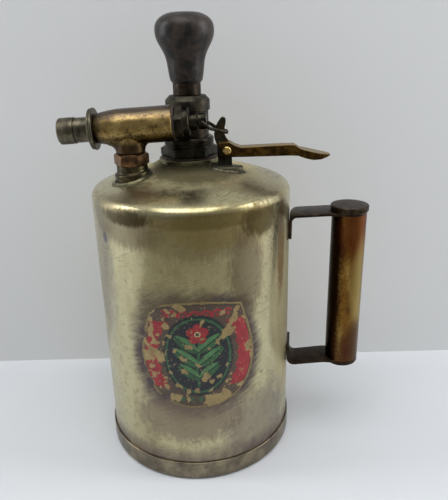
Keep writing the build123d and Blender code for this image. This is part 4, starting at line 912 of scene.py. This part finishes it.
def makeApron(name, form):
    # solder drawn out in a fillet from a soldered foot down to the dome
    around, steps = apronCut["around"], apronCut["steps"]
    points = []
    for k in range(steps + 1):
        share = k / steps
        grow = form["spread"] * share
        lift = form["rise"] * (1 - share) ** 1.8 - apronCut["sink"]
        for j in range(around):
            turn = 2 * math.pi * j / around
            lumpX = math.cos(turn) * apronCut["lumpTurns"]
            lumpY = math.sin(turn) * apronCut["lumpTurns"]
            lump = 1 + apronCut["lump"] * noiseAt(lumpX, lumpY, form["reach"] + k * 0.2)
            x = (form["reach"] + grow * lump) * math.cos(turn)
            y = (form["across"] + grow * lump) * math.sin(turn)
            px = form["at"].x + x * math.cos(form["turn"]) - y * math.sin(form["turn"])
            py = form["at"].y + x * math.sin(form["turn"]) + y * math.cos(form["turn"])
            points.append((px, py, skinHeight(px, py) + lift * lump))
    for k in (steps, 0):
        for j in range(around):
            x, y, z = points[k * around + j]
            points.append((x, y, skinHeight(x, y) - apronCut["depth"]))
    faces = [face[::-1] for face in closedFaces(steps + 3, around)]
    apron = meshPiece(name + "Apron", points, faces, form["finish"], "tank")


for name, form in apronForm.items():
    makeApron(name, form)
print("solder run")

headJoint = next(joint for joint in frame["joints"] if joint["name"] == "nozzle_unscrew")
headAxis = -Vector(headJoint["axis"]).normalized()
headPlace = Vector(headJoint["pos_m"]) / mm
headSide = Vector((0, 0, 1)).cross(headAxis).normalized()
headUp = headAxis.cross(headSide)

flareForm = {"radius": 7.9, "bodyR": 9.57, "bodyReach": 9.3, "along": 4.2, "across": 1.8, "sink": 0.35,
             "footInset": 3.0, "footLift": 0.4, "topInset": 0.9, "around": 96, "steps": 10}


def makeNeckFlare():
    # the cast fillet that runs the neck out into the underside of the valve's body
    around, steps = flareForm["around"], flareForm["steps"]
    points = []
    for k in range(steps + 1):
        bend = math.pi / 2 * k / steps
        for j in range(around):
            turn = 2 * math.pi * j / around
            spread = (flareForm["along"] - flareForm["across"]) * abs(math.cos(turn)) ** 1.5
            spread += flareForm["across"]
            reach = flareForm["radius"] + spread * (1 - math.cos(bend))
            wide = (flareForm["radius"] + spread) * math.sin(turn)
            along = (flareForm["radius"] + spread) * math.cos(turn)
            under = math.sqrt(flareForm["bodyR"] ** 2 - min(abs(wide), flareForm["bodyReach"]) ** 2)
            under = headPlace.z + along * headAxis.z - under
            z = under + flareForm["sink"] - spread * (1 - math.sin(bend))
            aheadX = headAxis.x * math.cos(turn) + headSide.x * math.sin(turn)
            aheadY = headAxis.y * math.cos(turn) + headSide.y * math.sin(turn)
            points.append((headPlace.x + reach * aheadX, headPlace.y + reach * aheadY, z))
    for k, inset, lift in ((steps, flareForm["footInset"], flareForm["footLift"]),
                           (0, flareForm["topInset"], 0)):
        for j in range(around):
            x, y, z = points[k * around + j]
            out = Vector((x - headPlace.x, y - headPlace.y))
            out = out.normalized() * max(flareForm["radius"] - inset, 1)
            points.append((headPlace.x + out.x, headPlace.y + out.y, z + lift))
    flare = meshPiece("neckFlare", points, closedFaces(steps + 3, around), "castHeadBrass", "tank")


makeNeckFlare()


def ringStackTree(tree, given):
    # fine turned ridges: one thin ring repeated along a line
    line = addNode(tree, "GeometryNodeMeshToCurve", [given["Path"]])
    profile = addNode(tree, "GeometryNodeCurvePrimitiveCircle", {"Resolution": 6, "Radius": given["Ridge"]})
    ring = addNode(tree, "GeometryNodeCurveToMesh", {"Curve": line, "Profile Curve": profile})
    shift = addNode(tree, "ShaderNodeCombineXYZ", [given["Step X"], given["Step Y"], given["Step Z"]])
    spots = addNode(tree, "GeometryNodeMeshLine", {"Count": given["Count"], "Offset": shift}, mode="OFFSET")
    return addNode(tree, "GeometryNodeInstanceOnPoints", {"Points": spots, "Instance": ring})


ringCorners = 96
ridgeForm = {
    "capRidges": {"from": -31.0, "step": -0.62, "count": 9, "radius": 6.93, "ridge": 0.13,
                  "body": "nozzle"},
    "tubeRidges": {"from": -21.6, "step": -0.75, "count": 8, "radius": 6.53, "ridge": 0.1, "body": "tank"},
}
for name, form in ridgeForm.items():
    centre = headPlace + headAxis * form["from"]
    turns = [2 * math.pi * k / ringCorners for k in range(ringCorners)]
    loop = [centre + form["radius"] * (headSide * math.cos(t) + headUp * math.sin(t)) for t in turns]
    step = headAxis * form["step"] * mm
    nodeShape(name, loop, True, "turnedNozzleBrass", form["body"], ringStackTree,
              {"Ridge": form["ridge"] * mm, "Count": form["count"],
               "Step X": step.x, "Step Y": step.y, "Step Z": step.z})
print("neck flare and turned ridges made")

# coil springs as merged copies of their nodes, each with its ends found along an axis that points at the end that
# stays
springForm = {
    "foot_spring": {"joint": "check_open", "axis": Vector((0, 0, -1))},
    "return_spring": {"joint": "valve_open", "axis": headAxis},
}
for name, form in springForm.items():
    spring = pieceFromNode(name, "live")
    smoothAll(spring.data)
    spots = [(vert.co.dot(form["axis"]), vert.co) for vert in spring.data.vertices]
    nearEnd, farEnd = min(spots, key=lambda spot: spot[0]), max(spots, key=lambda spot: spot[0])
    tuple(form["axis"])
    tuple(farEnd[1])
    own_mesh(spring)
print("springs made")

# the stage's sizes are in metres
stageSizes = {"floorHalf": 3.0, "wallHeight": 3.0, "wallY": 0.0776, "wallSlope": 0.1415,
              "lean": 0.4, "dimFrom": 0.11, "dimTo": 0.38}
stageTones = {"floor": "#ced1d5", "wall": "#d9dada", "roomDark": "#97938b"}
stagePaint = {"Roughness": 0.9, "Specular IOR Level": 0.2}


def stagePlane(name, corners):
    # a flat plane of the stage with a material to be filled
    mesh = bpy.data.meshes.new(name)
    mesh.from_pydata(corners, [], [(0, 1, 2, 3)])
    material, tree, place = newMaterial(name + "Paint")
    mesh.materials.append(material)
    obj = newObject(name, mesh)
    return tree, place


half = stageSizes["floorHalf"]
floorTree, floorPlace = stagePlane(
    "floor", [(-half, -half, 0), (half, -half, 0), (half, half, 0), (-half, half, 0)])
# in reflections the floor falls off to a dim room a little way in front of the object
floorSpot = addNode(floorTree, "ShaderNodeSeparateXYZ", [floorPlace]).node.outputs
ahead = addNode(floorTree, "ShaderNodeMath", [floorSpot["Y"], -1.0], operation="MULTIPLY")
ahead = addNode(floorTree, "ShaderNodeMath", [floorSpot["X"], stageSizes["lean"], ahead],
                operation="MULTIPLY_ADD")
reflected = addNode(floorTree, "ShaderNodeLightPath", out="Is Glossy Ray")
floorTone = layer(floorTree, stageTones["floor"], stageTones["roomDark"], ahead, reflected,
                  between=(stageSizes["dimFrom"], stageSizes["dimTo"]))[0]
floorShader = addNode(floorTree, "ShaderNodeBsdfPrincipled", {"Base Color": floorTone, **stagePaint})
addNode(floorTree, "ShaderNodeOutputMaterial", [floorShader])

wallY, slope, high = stageSizes["wallY"], stageSizes["wallSlope"], stageSizes["wallHeight"]
wallTree = stagePlane(
    "wall", [(-half, wallY - slope * half, 0), (half, wallY + slope * half, 0),
             (half, wallY + slope * half, high), (-half, wallY - slope * half, high)])[0]
# the wall is clear from behind, so that it doesn't hide the object in a view from the back
wallShader = addNode(wallTree, "ShaderNodeBsdfPrincipled", {"Base Color": stageTones["wall"], **stagePaint})
seeThrough = addNode(wallTree, "ShaderNodeBsdfTransparent")
behind = addNode(wallTree, "ShaderNodeNewGeometry", out="Backfacing")
wallMix = addNode(wallTree, "ShaderNodeMixShader", [behind, wallShader, seeThrough])
addNode(wallTree, "ShaderNodeOutputMaterial", [wallMix])

lights = {
    "leftWindow": {"place": (-1.0, -0.10, 0.50), "aim": (0, 0, 0.12), "size": (0.42, 1.1), "power": 9.5},
    "rightWindow": {"place": (1.0, 0.02, 0.50), "aim": (0, 0, 0.12), "size": (0.34, 1.1), "power": 7.0},
    "skylight": {"place": (0.0, -0.45, 1.4), "aim": (0, 0, 0.1), "size": (1.2, 0.9), "power": 11.0},
}
for name, lamp in lights.items():
    data = bpy.data.lights.new(name, "AREA")
    data.shape = "RECTANGLE"
    data.size, data.size_y = lamp["size"]
    data.energy = lamp["power"]
    light = newObject(name, data)
    light.location = lamp["place"]
    light.rotation_euler = (Vector(lamp["aim"]) - Vector(lamp["place"])).to_track_quat("-Z", "Y").to_euler()

world = bpy.data.worlds.new("studio")
bpy.context.scene.world = world
world.use_nodes = True
worldTree = world.node_tree
worldTree.nodes.clear()
worldShade = addNode(worldTree, "ShaderNodeBackground", {"Color": "#dfe2e6", "Strength": 0.36})
addNode(worldTree, "ShaderNodeOutputWorld", [worldShade])

# place in metres, the view's own axes, lens and sensor in millimetres
cameraFit = {
    "place": (0.06113, -0.30284, 0.24135),
    "right": (0.9911, 0.1313, -0.0229),
    "up": (-0.0260, 0.3589, 0.9330),
    "forward": (-0.1307, 0.9241, -0.3592),
    "lens": 43.53,
    "sensor": 36.0,
}
camera = newObject("camera", bpy.data.cameras.new("camera"))
camera.data.sensor_fit = "HORIZONTAL"
camera.data.sensor_width = cameraFit["sensor"]
camera.data.lens = cameraFit["lens"]
camera.data.clip_start = 0.01
camera.data.clip_end = 20
axes = Matrix((cameraFit["right"], cameraFit["up"], [-v for v in cameraFit["forward"]])).transposed()
camera.matrix_world = Matrix.Translation(cameraFit["place"]) @ axes.to_4x4()
bpy.context.scene.camera = camera
bpy.context.scene.view_settings.view_transform = "Standard"
print("stage, light and camera ready")
